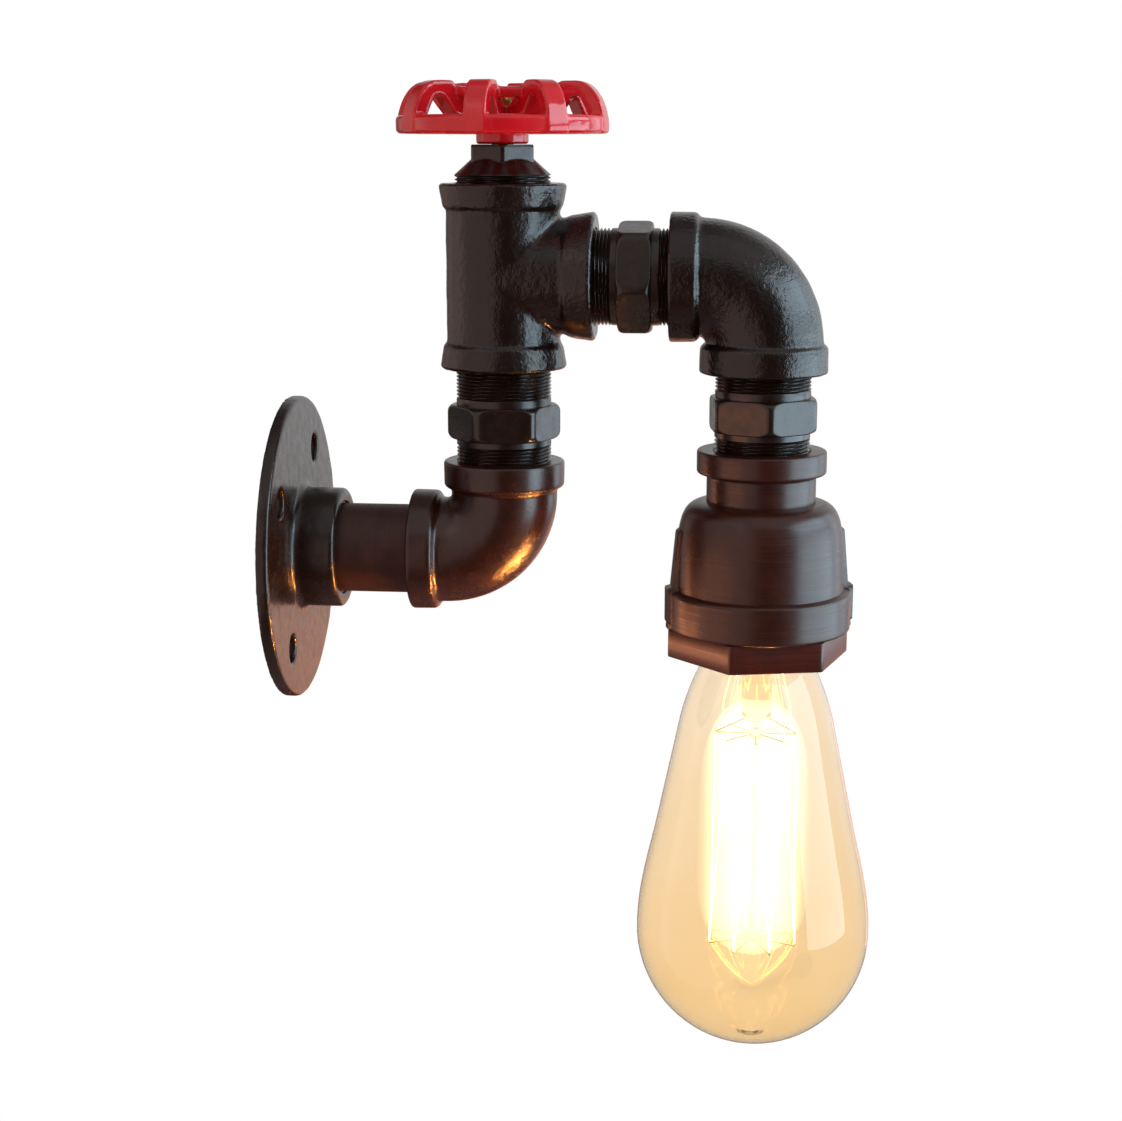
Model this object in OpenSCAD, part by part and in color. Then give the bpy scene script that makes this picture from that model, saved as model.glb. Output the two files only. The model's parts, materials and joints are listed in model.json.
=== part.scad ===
// Pipe wall light built like plumbing: wall flange, elbows, tee with a tap wheel, hanging bell and bulb
// Millimetres. Origin at the centre of the flange's back face, +X out of the wall, +Z up

/* [Pipe thread] */
// Outside diameter of the fine threads on the nipples, the pipe and the bonnet
thread_d = 26.5; // [25.6:0.1:27]
// Distance from one thread crest to the next
thread_pitch = 1; // [0.8:0.05:2]
// Depth of the thread from crest to root
thread_depth = 0.6; // [0.4:0.05:1.1]
// Radial gap between a male thread and the socket around it
thread_gap = 0.06; // [0.04:0.01:0.1]
// Depth of the threaded sockets in the elbows and the tee
socket_depth = 11; // [10.5:0.25:12]

/* [Wall flange] */
// Outside diameter of the flange disc
flange_d = 86; // [80:1:100]
// Thickness of the flange disc
flange_t = 3.4; // [3.2:0.1:6]
// Outside diameter of the threaded hub
hub_d = 34; // [32:0.5:38]
// Height of the hub in front of the disc
hub_h = 12.2; // [10:0.1:16]
// Fillet where the hub meets the disc
hub_fillet = 2; // [0.5:0.1:3]
// Diameter of the screw holes
screw_hole_d = 8; // [5:0.5:9]
// Diameter of the circle the screw holes lie on
screw_circle_d = 62; // [56:1:66]
// Number of screw holes
screw_count = 4; // [2:1:6]
// Angle of the first screw hole
screw_turn = 57.5; // [0:0.5:90]
// Diameter of the cable way through the flange's back
entry_d = 23; // [21:0.5:25]

/* [Wall pipe] */
// Outside diameter of the plain pipe
pipe_d = 25.2; // [24.4:0.1:25.6]
// Bore of the plain pipe
pipe_bore_d = 20.4; // [20:0.1:21]
// Length of pipe that shows between flange and elbow
pipe_show = 19.9; // [18:0.1:60]
// Length screwed into each fitting
pipe_grip = 9.5; // [8:0.5:10]

/* [Elbows] */
// Distance from the crossing of the axes to each face
elbow_leg = 26; // [24.5:0.1:30]
// Bore of the elbows
elbow_bore_d = 22; // [20:0.5:23]
// Outside diameter of the lower elbow's bend
lower_elbow_d = 29.8; // [29.4:0.1:31]
// Diameter of the lower elbow's beads
lower_bead_d = 34; // [33:0.2:37]
// Length of the lower elbow's beads
lower_bead_h = 7; // [4:0.2:8]
// Bend radius of the lower elbow
lower_bend_r = 16.5; // [16:0.1:17.5]
// Outside diameter of the upper elbow's bend
upper_elbow_d = 32.4; // [31:0.1:33]
// Diameter of the upper elbow's beads
upper_bead_d = 35.4; // [34.4:0.2:38]
// Length of the upper elbow's beads
upper_bead_h = 7.2; // [5:0.2:8]
// Bend radius of the upper elbow
upper_bend_r = 17.8; // [17:0.1:18]

/* [Tee] */
// Half the height of the tee
tee_half = 25.3; // [25:0.1:30]
// Distance from the tee's axis to the branch face
tee_branch = 25.7; // [23.5:0.1:30]
// Outside diameter of the tee's body
tee_d = 31.4; // [30.6:0.1:33]
// Diameter of the collars at the tee's faces
tee_rim_d = 35.3; // [34:0.1:38]
// How far a collar stands out where it meets the body
tee_rim_step = 0.9; // [0.4:0.1:1.4]
// Length of the collars on the run
tee_rim_h = 6.3; // [4:0.1:7]
// Length of the collar on the branch
tee_branch_rim_h = 7.6; // [4:0.1:8]
// Bore in the middle of the tee
tee_bore_d = 23.6; // [22:0.1:25]

/* [Hex nipples] */
// Width across the flats of the nipples' hexagons
nipple_af = 28; // [27:0.5:30]
// Length of the hexagons
nipple_hex_h = 9.5; // [8:0.1:12]
// Length of the threaded leg on each side of the hexagon
nipple_leg = 15.4; // [14:0.1:15.6]
// Plain length of a leg beside the hexagon
nipple_neck = 2; // [1:0.1:3]
// Bore of the nipples
nipple_bore_d = 19; // [18:0.5:20]
// Gap between lower elbow and tee
lower_show = 26; // [25:0.1:29]
// Gap between tee and upper elbow
arm_show = 20.4; // [20.2:0.1:26]
// Gap between upper elbow and bell
drop_show = 21.3; // [20.6:0.1:28]
// How far the lower hexagon sits below the middle of its gap
lower_hex_shift = 1.9; // [0:0.1:2]
// How far the arm's hexagon sits beyond the middle of its gap
arm_hex_shift = 0.8; // [0:0.1:0.9]
// How far the hanging hexagon sits below the middle of its gap
drop_hex_shift = 0.6; // [0:0.1:1]
// How far the hexagons' corners are turned down
hex_ease = 2.2; // [0.4:0.1:2.4]
// Angle of the lower nipple's hexagon
lower_hex_turn = 7.4; // [0:0.1:60]
// Angle of the arm nipple's hexagon
arm_hex_turn = 41.3; // [0:0.1:60]
// Angle of the drop nipple's hexagon
drop_hex_turn = 38.3; // [0:0.1:60]

/* [Bonnet] */
// Thread that shows above the tee
bonnet_show = 2.4; // [1:0.1:4]
// Length of thread inside the tee
bonnet_grip = 10; // [8:0.5:10.5]
// Width across the flats of the bonnet's hexagon
bonnet_af = 17; // [16.5:0.5:20]
// Height from the tee's top face to the bonnet's top
bonnet_h = 10.1; // [9:0.1:14]
// Thickness of the plate that the dimmer hangs from
bonnet_plate_t = 4; // [3:0.1:5]
// Bore of the bonnet over the dimmer's nut
bonnet_top_bore_d = 12.6; // [12.2:0.1:13]
// How far the corners of the bonnet's hexagon are turned down
bonnet_ease = 0.8; // [0.2:0.1:1.2]
// Angle of the bonnet's hexagon
bonnet_turn = 36.5; // [0:0.5:60]

/* [Dimmer] */
// Diameter of the dimmer's body
dimmer_d = 16.4; // [15:0.1:17.5]
// Height of the dimmer's body
dimmer_h = 12; // [8:0.5:14]
// Diameter of the dimmer's threaded neck
dimmer_neck_d = 7; // [7:0.1:8]
// Width across the flats of the dimmer's nut
dimmer_nut_af = 10; // [9:0.1:10.2]
// Height of the dimmer's nut
dimmer_nut_h = 2; // [1.5:0.1:2.5]
// Diameter of the spindle
spindle_d = 6; // [5:0.1:6]
// Radial gap of the spindle in the dimmer's neck
spindle_gap = 0.05; // [0.03:0.01:0.1]

/* [Handwheel] */
// Outside diameter over the ribs
wheel_d = 58.4; // [54:0.2:64]
// Height of the rim band
wheel_rim_h = 5; // [3.5:0.1:6]
// Radial thickness of the rim band
wheel_rim_w = 3.8; // [3:0.1:5]
// How far the ribs stand out past the rim band
rib_proud = 0.2; // [0.2:0.1:1.2]
// Number of arched ribs
rib_count = 8; // [5:1:10]
// Width of each rib
rib_w = 6.2; // [4:0.1:7]
// Distance over which each rib rounds from its upright outside to its flat top
rib_round = 8; // [6:0.1:9]
// Radius at which the eye through each rib is highest
eye_r = 21; // [20:0.1:21.6]
// Width of the eye at the rim's upper edge
eye_w = 8.5; // [5:0.1:9]
// Height of the eye's top above the rim's lower edge
eye_top = 10.2; // [7:0.1:11]
// Height of the wheel from the rim's lower edge to the top of the ribs
wheel_h = 14; // [13:0.1:16]
// Width of the ring that ties the ribs together at the crown
crown_w = 3; // [2:0.1:4]
// Height of the crown ring
crown_h = 2.8; // [2:0.1:4.5]
// Depth of the crown ring's top below the top of the ribs
crown_drop = 1.7; // [0.5:0.1:3]
// Radius of the crown ring's middle
crown_r = 14.9; // [14:0.1:16]
// Angle of the first rib at rest
wheel_turn = -7.5; // [-22.5:0.5:22.5]
// Diameter of the hub
wheel_hub_d = 14.4; // [12:0.1:15]
// How far the hub reaches below the rim
wheel_hub_drop = 2.7; // [1:0.1:5]
// Height of the hub's top above the rim's lower edge
wheel_hub_top = 6; // [5:0.1:7]
// Gap between the bonnet and the hub
wheel_gap = 0.3; // [0.3:0.1:2]
// Width across the flats of the wheel nut
wheel_nut_af = 8; // [8:0.1:9]
// Height of the wheel nut
wheel_nut_h = 2.4; // [1.5:0.1:3.5]

/* [Bell] */
// Height of the bell
bell_h = 50.4; // [49:0.1:53]
// Diameter of the collar at the top
bell_collar_d = 36; // [34:0.1:38]
// Height of the collar
bell_collar_h = 6.4; // [4:0.1:8]
// Diameter of the neck under the collar
bell_neck_d = 30.4; // [30:0.1:31]
// Depth from the top to the end of the neck
bell_neck_h = 14.4; // [13:0.1:14.5]
// Diameter of the bell above the band
bell_d = 47.4; // [46.6:0.1:48.4]
// Diameter of the band
bell_band_d = 51.2; // [50:0.1:54]
// Height of the band
bell_band_h = 10.7; // [8:0.1:12]
// Depth of the threaded socket at the top
bell_socket_h = 16; // [16:0.1:16.4]
// Thickness of the ledge inside the bell
ledge_t = 2.5; // [2:0.1:3]
// Hole in the ledge
ledge_hole_d = 21.6; // [20:0.1:22]
// Width of the two lifting ribs on the bell's sides
bell_rib_w = 5; // [3:0.1:7]
// Height of the lifting ribs above the band
bell_rib_h = 17.5; // [12:0.1:19]
// How far the lifting ribs stand out at the band
bell_rib_proud = 1.6; // [0.8:0.1:2.2]
// How far the lug under each rib stands out past the band
bell_lug_proud = 1; // [0.5:0.1:2]
// Angle of the first lifting rib
bell_rib_turn = 12; // [0:1:90]
// Gap between the porcelain and the bell's inside
bell_room = 2.4; // [1.5:0.1:2.6]

/* [Hex bush] */
// Width across the flats of the bush
bush_af = 45; // [44:0.5:50]
// Height of the bush's hexagon
bush_hex_h = 8.2; // [6:0.1:10]
// Wall of the bush under its thread
bush_wall = 1.8; // [1.2:0.1:2.2]
// Length of thread inside the bell
bush_grip = 12; // [9:0.1:13]
// Angle of the bush's hexagon
bush_turn = 13; // [0:0.5:60]

/* [Lampholder] */
// Outside diameter of the porcelain body
holder_d = 34; // [32:0.1:35]
// Gap between the porcelain and the bush around it
holder_clear = 1; // [0.5:0.1:1.5]
// Wall between the porcelain's outside and the ends of its terminal chamber
holder_wall = 4; // [3:0.1:5]
// Gap between the screw shell and the porcelain around it
shell_clear = 0.1; // [0.05:0.01:0.3]
// How far the porcelain's mouth lies above the bush's lower face
holder_inset = 4.1; // [3.5:0.1:5]
// Depth of the terminal chamber
chamber_h = 8; // [7.5:0.1:9]
// Width of the terminal chamber
chamber_w = 12; // [11:0.1:13]
// Thickness of the floor under the terminals
holder_floor_t = 3.5; // [3:0.1:4]
// Thickness of the holder strap
strap_t = 1.5; // [1:0.1:2]
// Distance of the strap screws from the lampholder's axis
strap_screw_r = 9.5; // [9.2:0.1:10.5]
// Diameter of the strap screws
strap_screw_d = 3; // [2.5:0.1:3.2]
// Diameter of the strap screws' heads
strap_head_d = 5.2; // [4.5:0.1:5.6]
// Height of the strap screws' heads
strap_head_h = 1.6; // [1.2:0.1:2]
// Length of each terminal
terminal_l = 4.5; // [4:0.1:5]
// Width of each terminal
terminal_w = 6; // [4:0.1:8]
// Height of each terminal
terminal_h = 4; // [3:0.1:4.5]
// Diameter of the hollow stud
stud_d = 10; // [9.6:0.1:10.4]
// Bore of the hollow stud
stud_bore_d = 7; // [6.8:0.1:7.4]
// Width across the flats of the stud nut
stud_nut_af = 14; // [13:0.1:15]
// Radial gap of screws and nuts in the lamp head
fit_gap = 0.05; // [0.03:0.01:0.1]

/* [Cable] */
// Diameter of the cable inside the pipes
cable_d = 6.2; // [5:0.1:6.4]
// Diameter of each core
core_d = 1.8; // [1.4:0.1:2]

/* [Bulb] */
// Widest diameter of the glass
bulb_d = 67.2; // [60:0.2:72]
// Distance from the cap's rim to the widest place
bulb_drop = 84.7; // [80:0.1:95]
// Diameter of the glass where the neck's curve ends
bulb_waist_d = 43.8; // [40:0.1:46]
// Distance from the cap's rim to that place
bulb_waist_drop = 22.4; // [18:0.1:28]
// Diameter of the glass where the globe's curve begins
bulb_flank_d = 56.4; // [50:0.1:60]
// Distance from the cap's rim to that place
bulb_flank_drop = 52.5; // [45:0.1:60]
// Distance over which the curves leave the straight flank
bulb_ease = 10; // [6:0.1:12]
// Diameter of the glass neck inside the cap
bulb_neck_d = 25; // [24.6:0.1:25]
// Thickness of the glass
glass_t = 0.8; // [0.6:0.1:1.2]
// Outside diameter of the cap's thread
cap_d = 26.4; // [26:0.1:26.4]
// Height of the cap from its rim to its shoulder
cap_h = 20.2; // [19:0.1:20.4]
// Gap between cap and screw shell
cap_gap = 0.3; // [0.25:0.01:0.35]
// Distance from one ridge of the cap to the next
cap_pitch = 3.63; // [3.6:0.01:3.7]
// Diameter of the insulator on the cap
insulator_d = 20.4; // [18:0.1:22]
// Height of the insulator
insulator_h = 1.8; // [1.4:0.1:2.2]
// Diameter of the solder contact on the insulator
contact_d = 9.2; // [7:0.1:10]
// Number of hairpins in the filament cage
cage_count = 8; // [5:1:10]
// Radius of the cage at its upper hooks
cage_top_r = 11.5; // [8:0.1:13]
// Radius of the cage at its lower hooks
cage_end_r = 13.3; // [10:0.1:16]
// Distance from the cap's rim to the upper hooks
cage_top_drop = 26.3; // [24:0.1:32]
// Height of the cage
cage_h = 62; // [40:0.5:66]
// Diameter of the filament
filament_d = 0.6; // [0.4:0.05:0.8]

/* [Hidden] */
$fn = 96;
eps = 0.01;
bead_edge = 0.9;
band_edge = 0.7;
thread_r = thread_d / 2;
socket_r = thread_r + thread_gap;
hub_x = flange_t + hub_h;
entry_t = 3;
tee_x = hub_x + pipe_show + elbow_leg;
tee_end = elbow_leg + lower_show;
arm_z = tee_end + tee_half;
tee_top = arm_z + tee_half;
branch_x = tee_x + tee_branch;
head_x = branch_x + arm_show + elbow_leg;
bell_top = arm_z - elbow_leg - drop_show;
bell_end = bell_top - bell_h;
bush_end = bell_end - bush_hex_h;
ledge_top = bell_top - bell_socket_h;
ledge_end = ledge_top - ledge_t;
bonnet_top = tee_top + bonnet_h;
plate_end = tee_top - bonnet_plate_t + 0.4;
plate_top = plate_end + bonnet_plate_t;
wheel_z = bonnet_top + wheel_gap + wheel_hub_drop;
wheel_r = wheel_d / 2;
washer_t = 0.6;
carrier_t = 1.5;
stud_nut_h = 3;
connector_l = 15;
connector_w = 16.6;
connector_h = 10.4;
connector_x = hub_x - pipe_grip + 1.5;
way_y = 4.2;
way_d = 3.2;
clamp_places = [0.26, 0.74];
core_y = 1.4;
sheath_x = connector_x + connector_l + 4;
swivel_z = tee_end + 8;
swivel_x = branch_x + arm_show / 2;
arm_bend_r = 14;
joint_gap = 0.2;
lug_x = 4.6;
lug_y = 4;
lug_w = 1.4;
lug_t = 0.6;
lug_h = 3;
holder_top = ledge_end - strap_t;
holder_end = bush_end + holder_inset;
floor_top = holder_top - chamber_h;
floor_end = floor_top - holder_floor_t;
shell_r = cap_d / 2 + cap_gap;
shell_t = 0.45;
shell_wave = 0.4;
cavity_r = shell_r + shell_t + shell_wave + shell_clear;
bush_bore_d = holder_d + 2 * holder_clear;
bush_thread_d = bush_bore_d + 2 * (bush_wall + thread_depth);
chamber_l = holder_d - 2 * holder_wall;
terminal_x = chamber_l / 2 - 1 - terminal_l;
contact_spring_h = 1.1;
cap_wave = 0.8;
rim_inset = 2.9;
rim_z = bush_end + rim_inset;
shoulder_z = rim_z + cap_h;
neck_r = bulb_neck_d / 2;
bulb_r = bulb_d / 2;
globe_z = rim_z - bulb_drop;
cage_top = rim_z - cage_top_drop;
cage_end = cage_top - cage_h;
flare = (bulb_flank_d - bulb_waist_d) / 2 / (bulb_flank_drop - bulb_waist_drop);
neck_flare = 0.49;
stem_r = 4.3;
rod_r = 1.3;
hook_bead_r = 2.2;
hook_start_r = 1.6;
wire_d = 0.5;

// Points on an arc round c from angle a0 to angle a1
function arc(c, r, a0, a1, n) = [
  for (i = [0 : n])
    let (a = a0 + (a1 - a0) * i / n)
      c + r * [cos(a), sin(a)]
];

// Points on a cubic curve from p to s, shaped by q and r
function curve(p, q, r, s, n) = [
  for (i = [0 : n])
    let (t = i / n, u = 1 - t)
      u * u * u * p + 3 * u * u * t * q + 3 * u * t * t * r + t * t * t * s
];

// One thread ridge that starts at height z
function ridge(r, z) = [
  [r, z],
  [r, z + 0.3 * thread_pitch],
  [r - thread_depth, z + 0.6 * thread_pitch],
  [r - thread_depth, z + 0.75 * thread_pitch]
];

// A wavy line from height z0 to z1, for the rolled threads of the lamp cap and its shell
function wave(r, depth, z0, z1, n) = [
  for (i = [0 : n])
    let (z = z0 + (z1 - z0) * i / n)
      [r - depth / 2 + depth / 2 * cos(360 * (z - z0) / cap_pitch), z]
];

module along_x() {
  rotate([0, 90, 0]) children();
}

// Straight round bar between two points
module bar(p, q, d) {
  v = q - p;
  translate(p)
    rotate([0, acos(v[2] / norm(v)), atan2(v[1], v[0])])
      cylinder(d = d, h = norm(v), $fn = 24);
}

// Quarter bend in the XZ plane, starting at angle a0 round its centre
module quarter(x, z, bend_r, a0, d) {
  translate([x, 0, z])
    rotate([90, 0, 0])
      rotate(a0)
        rotate_extrude(angle = 90)
          translate([bend_r, 0])
            circle(d = d);
}

// Threaded bar that starts at its full diameter
module threaded(len, r) {
  n = floor(len / thread_pitch);
  rotate_extrude()
    polygon(concat(
      [[0, 0]],
      [for (i = [0 : n - 1]) for (p = ridge(r, i * thread_pitch)) p],
      [[r - thread_depth, len], [0, len]]
    ));
}

// Plain collar with eased edges
module bead(d, h, edge) {
  rotate_extrude()
    polygon([
      [0, 0], [d / 2 - edge, 0], [d / 2, edge],
      [d / 2, h - edge], [d / 2 - edge, h], [0, h]
    ]);
}

// Hexagon with turned ends
module hexagon(af, h, turn, ease) {
  corner_r = af / 2 / cos(30) - ease / 3;
  intersection() {
    rotate(turn) cylinder(d = af / cos(30), h = h, $fn = 6);
    rotate_extrude()
      polygon([
        [0, 0], [corner_r - ease, 0], [corner_r, 0.75 * ease],
        [corner_r, h - 0.75 * ease], [corner_r - ease, h], [0, h]
      ]);
  }
}

// Hex nipple along Z with its hexagon centred on the origin
module hex_nipple(turn) {
  difference() {
    union() {
      translate([0, 0, -nipple_hex_h / 2]) hexagon(nipple_af, nipple_hex_h, turn, hex_ease);
      for (side = [0, 180])
        rotate([side, 0, 0]) {
          cylinder(r = thread_r, h = nipple_hex_h / 2 + nipple_neck);
          translate([0, 0, nipple_hex_h / 2 + nipple_neck]) threaded(nipple_leg - nipple_neck, thread_r);
        }
    }
    cylinder(d = nipple_bore_d, h = nipple_hex_h + 2 * nipple_leg + 2, center = true);
  }
}

// Elbow with one face towards -X and one towards +Z
module elbow(body_d, bead_d, bead_h, bend_r) {
  straight = elbow_leg - bend_r;
  difference() {
    union() {
      translate([-elbow_leg, 0, 0]) along_x() cylinder(d = body_d, h = straight);
      quarter(-bend_r, bend_r, bend_r, -90, body_d);
      translate([0, 0, bend_r]) cylinder(d = body_d, h = straight);
      translate([-elbow_leg, 0, 0]) along_x() bead(bead_d, bead_h, bead_edge);
      translate([0, 0, elbow_leg - bead_h]) bead(bead_d, bead_h, bead_edge);
    }
    translate([-elbow_leg - 1, 0, 0]) along_x() cylinder(d = elbow_bore_d, h = straight + 1);
    quarter(-bend_r, bend_r, bend_r, -90, elbow_bore_d);
    translate([0, 0, bend_r]) cylinder(d = elbow_bore_d, h = straight + 1);
    translate([-elbow_leg - 1, 0, 0]) along_x() cylinder(r = socket_r, h = socket_depth + 1);
    translate([0, 0, elbow_leg - socket_depth]) cylinder(r = socket_r, h = socket_depth + 1);
  }
}

// Half of the tee's run, or its branch, ending in a collar that widens towards its face
module tee_limb(len, rim_h) {
  edge = 0.7;
  rotate_extrude()
    polygon([
      [0, 0], [tee_d / 2, 0], [tee_d / 2, len - rim_h - tee_rim_step],
      [tee_d / 2 + tee_rim_step, len - rim_h],
      [tee_rim_d / 2, len - edge], [tee_rim_d / 2 - edge, len], [0, len]
    ]);
}

module wall_flange() {
  color("#3a302d")
    along_x()
      difference() {
        rotate_extrude()
          polygon(concat(
            [[0, 0], [flange_d / 2, 0], [flange_d / 2, flange_t - 0.6], [flange_d / 2 - 0.6, flange_t]],
            arc([hub_d / 2 + hub_fillet, flange_t + hub_fillet], hub_fillet, 270, 180, 6),
            [[hub_d / 2, hub_x - 0.8], [hub_d / 2 - 0.8, hub_x], [0, hub_x]]
          ));
        translate([0, 0, -1]) cylinder(d = entry_d, h = hub_x + 2);
        translate([0, 0, entry_t]) cylinder(r = socket_r, h = hub_x);
        for (i = [0 : screw_count - 1])
          rotate(90 + screw_turn + 360 * i / screw_count)
            translate([screw_circle_d / 2, 0, 0]) {
              translate([0, 0, -1]) cylinder(d = screw_hole_d, h = flange_t + 2);
              translate([0, 0, flange_t - 0.5])
                cylinder(d1 = screw_hole_d, d2 = screw_hole_d + 1.02, h = 0.51);
            }
      }
}

module wall_pipe() {
  len = pipe_show + 2 * pipe_grip;
  end = pipe_grip - 1;
  color("#3a302d")
    translate([hub_x - pipe_grip, 0, 0])
      along_x()
        difference() {
          union() {
            cylinder(d = pipe_d, h = len);
            translate([0, 0, end]) rotate([180, 0, 0]) threaded(end, thread_r);
            translate([0, 0, len - end]) threaded(end, thread_r);
          }
          translate([0, 0, -1]) cylinder(d = pipe_bore_d, h = len + 2);
        }
}

module lower_elbow() {
  color("#2f2725")
    translate([tee_x, 0, 0]) elbow(lower_elbow_d, lower_bead_d, lower_bead_h, lower_bend_r);
}

module lower_hex_nipple() {
  color("#332b29")
    translate([tee_x, 0, elbow_leg + lower_show / 2 - lower_hex_shift]) hex_nipple(lower_hex_turn);
}

module connector_block() {
  color("#e8e4d8")
    translate([connector_x, 0, 0])
      difference() {
        translate([0, -connector_w / 2, -connector_h / 2]) cube([connector_l, connector_w, connector_h]);
        for (y = [-way_y, way_y]) {
          translate([-1, y, 0]) along_x() cylinder(d = way_d, h = connector_l + 2);
          for (x = clamp_places)
            translate([x * connector_l, y, 0]) cylinder(d = way_d, h = connector_h);
        }
      }
}

module connector_screws() {
  color("#b58b3a")
    for (y = [-way_y, way_y])
      for (x = clamp_places)
        translate([connector_x + x * connector_l, y, 1.2])
          difference() {
            cylinder(d = way_d - 2 * fit_gap, h = 3.4);
            translate([-0.3, -2, 2.6]) cube([0.6, 4, 1]);
          }
}

module wall_cable() {
  color("#222222") {
    translate([sheath_x, 0, 0]) along_x() cylinder(d = cable_d, h = tee_x - lower_bend_r - sheath_x);
    quarter(tee_x - lower_bend_r, lower_bend_r, lower_bend_r, -90, cable_d);
    translate([tee_x, 0, lower_bend_r]) cylinder(d = cable_d, h = swivel_z - lower_bend_r);
    for (side = [-1, 1]) {
      bar([sheath_x + 0.5, core_y * side, 0], [connector_x + connector_l, way_y * side, 0], core_d);
      translate([connector_x + 0.85 * connector_l, way_y * side, 0])
        along_x() cylinder(d = core_d + 0.1, h = 0.15 * connector_l + 0.6, $fn = 24);
    }
  }
}

module tee() {
  color("#332a28")
    translate([tee_x, 0, arm_z])
      difference() {
        union() {
          tee_limb(tee_half, tee_rim_h);
          rotate([180, 0, 0]) tee_limb(tee_half, tee_rim_h);
          along_x() tee_limb(tee_branch, tee_branch_rim_h);
        }
        cylinder(d = tee_bore_d, h = 2 * tee_half + 2, center = true);
        along_x() cylinder(d = tee_bore_d, h = tee_branch + 1);
        translate([0, 0, tee_half - socket_depth]) cylinder(r = socket_r, h = socket_depth + 1);
        translate([0, 0, -tee_half - 1]) cylinder(r = socket_r, h = socket_depth + 1);
        translate([tee_branch - socket_depth, 0, 0]) along_x() cylinder(r = socket_r, h = socket_depth + 1);
      }
}

module bonnet() {
  start = tee_top - bonnet_grip;
  cone_z = tee_top + bonnet_show;
  hex_z = cone_z + 1.6;
  cone_h = 5;
  cone_top_r = thread_r - 5.6;
  run_out = 0.6;
  color("#332b29")
    translate([tee_x, 0, 0])
      difference() {
        union() {
          translate([0, 0, cone_z - run_out])
            rotate([180, 0, 0])
              threaded(bonnet_grip + bonnet_show - run_out, thread_r);
          translate([0, 0, cone_z - run_out]) cylinder(r = thread_r, h = run_out);
          translate([0, 0, cone_z]) cylinder(r1 = thread_r, r2 = cone_top_r, h = cone_h);
          translate([0, 0, hex_z]) hexagon(bonnet_af, bonnet_top - hex_z, bonnet_turn, bonnet_ease);
        }
        translate([0, 0, start - 1]) cylinder(d = dimmer_d + 1.2, h = plate_end - start + 1);
        translate([0, 0, plate_end - 1]) cylinder(d = dimmer_neck_d + 2 * fit_gap, h = bonnet_plate_t + 2);
        translate([0, 0, plate_top]) cylinder(d = bonnet_top_bore_d, h = bonnet_h);
      }
}

module dimmer() {
  color("#1d1d20")
    translate([tee_x, 0, 0])
      difference() {
        union() {
          translate([0, 0, plate_end - dimmer_h]) cylinder(d = dimmer_d, h = dimmer_h);
          translate([0, 0, plate_end - 1])
            cylinder(d = dimmer_neck_d, h = bonnet_plate_t + dimmer_nut_h + 1.8);
          for (y = [-lug_y, 0, lug_y])
            translate([lug_x, y - lug_w / 2, plate_end - dimmer_h - lug_h]) cube([lug_t, lug_w, lug_h + 1]);
        }
        translate([0, 0, plate_end - dimmer_h + 3])
          cylinder(r = spindle_d / 2 + spindle_gap, h = dimmer_h + bonnet_plate_t + dimmer_nut_h + 2);
      }
}

module dimmer_nut() {
  color("#b9b9b4")
    translate([tee_x, 0, plate_top])
      difference() {
        hexagon(dimmer_nut_af, dimmer_nut_h, 20, 0.4);
        translate([0, 0, -1]) cylinder(d = dimmer_neck_d + 2 * fit_gap, h = dimmer_nut_h + 2);
      }
}

module dimmer_leads() {
  lug_end = plate_end - dimmer_h - lug_h;
  color("#7a1f1f")
    for (y = [-1, 1]) {
      bar([tee_x + 7, 1.2 * y, arm_z - 1.6], [tee_x + 6.1, lug_y * y, lug_end + 0.6], core_d * 0.8);
      translate([tee_x + lug_x + 0.9, lug_y * y, lug_end + 0.3]) cylinder(d = core_d * 0.85, h = 2, $fn = 24);
    }
}

module arm_hex_nipple() {
  color("#332b29")
    translate([branch_x + arm_show / 2 + arm_hex_shift, 0, arm_z]) along_x() hex_nipple(arm_hex_turn);
}

module arm_cable() {
  start = swivel_z + joint_gap;
  color("#222222") {
    translate([tee_x, 0, start]) cylinder(d = cable_d, h = arm_z - arm_bend_r - start);
    quarter(tee_x + arm_bend_r, arm_z - arm_bend_r, arm_bend_r, 90, cable_d);
    translate([tee_x + arm_bend_r, 0, arm_z])
      along_x() cylinder(d = cable_d, h = swivel_x - tee_x - arm_bend_r);
  }
}

// Side outline of one rib, from the rim up its outside, over the top and down to the hub
module rib_outline() {
  hub_r = wheel_hub_d / 2;
  web_t = 3.2;
  crown_top = wheel_h - crown_drop;
  foot_r = wheel_r - rib_proud - wheel_rim_w;
  polygon(concat(
    [[wheel_r - 0.6, 0], [wheel_r, 0.6]],
    curve(
      [wheel_r, 0.16 * wheel_h],
      [wheel_r - 0.2, 0.6 * wheel_h],
      [wheel_r - 0.44 * rib_round, wheel_h],
      [wheel_r - rib_round, wheel_h],
      10
    ),
    [[crown_r + 0.7 * crown_w, wheel_h], [crown_r, crown_top], [crown_r - crown_w / 2, crown_top - 0.6]],
    [[hub_r - 1, wheel_hub_top - 0.2], [hub_r - 1, wheel_hub_top - web_t]],
    [[eye_r - 0.6 * eye_w, wheel_rim_h], [eye_r - 0.17 * eye_w, eye_top - 0.5], [eye_r, eye_top]],
    [[eye_r + 0.15 * eye_w, eye_top - 0.6], [eye_r + 0.4 * eye_w, wheel_rim_h]],
    [[foot_r, 0.6 * wheel_rim_h], [foot_r, 0]]
  ));
}

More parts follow.
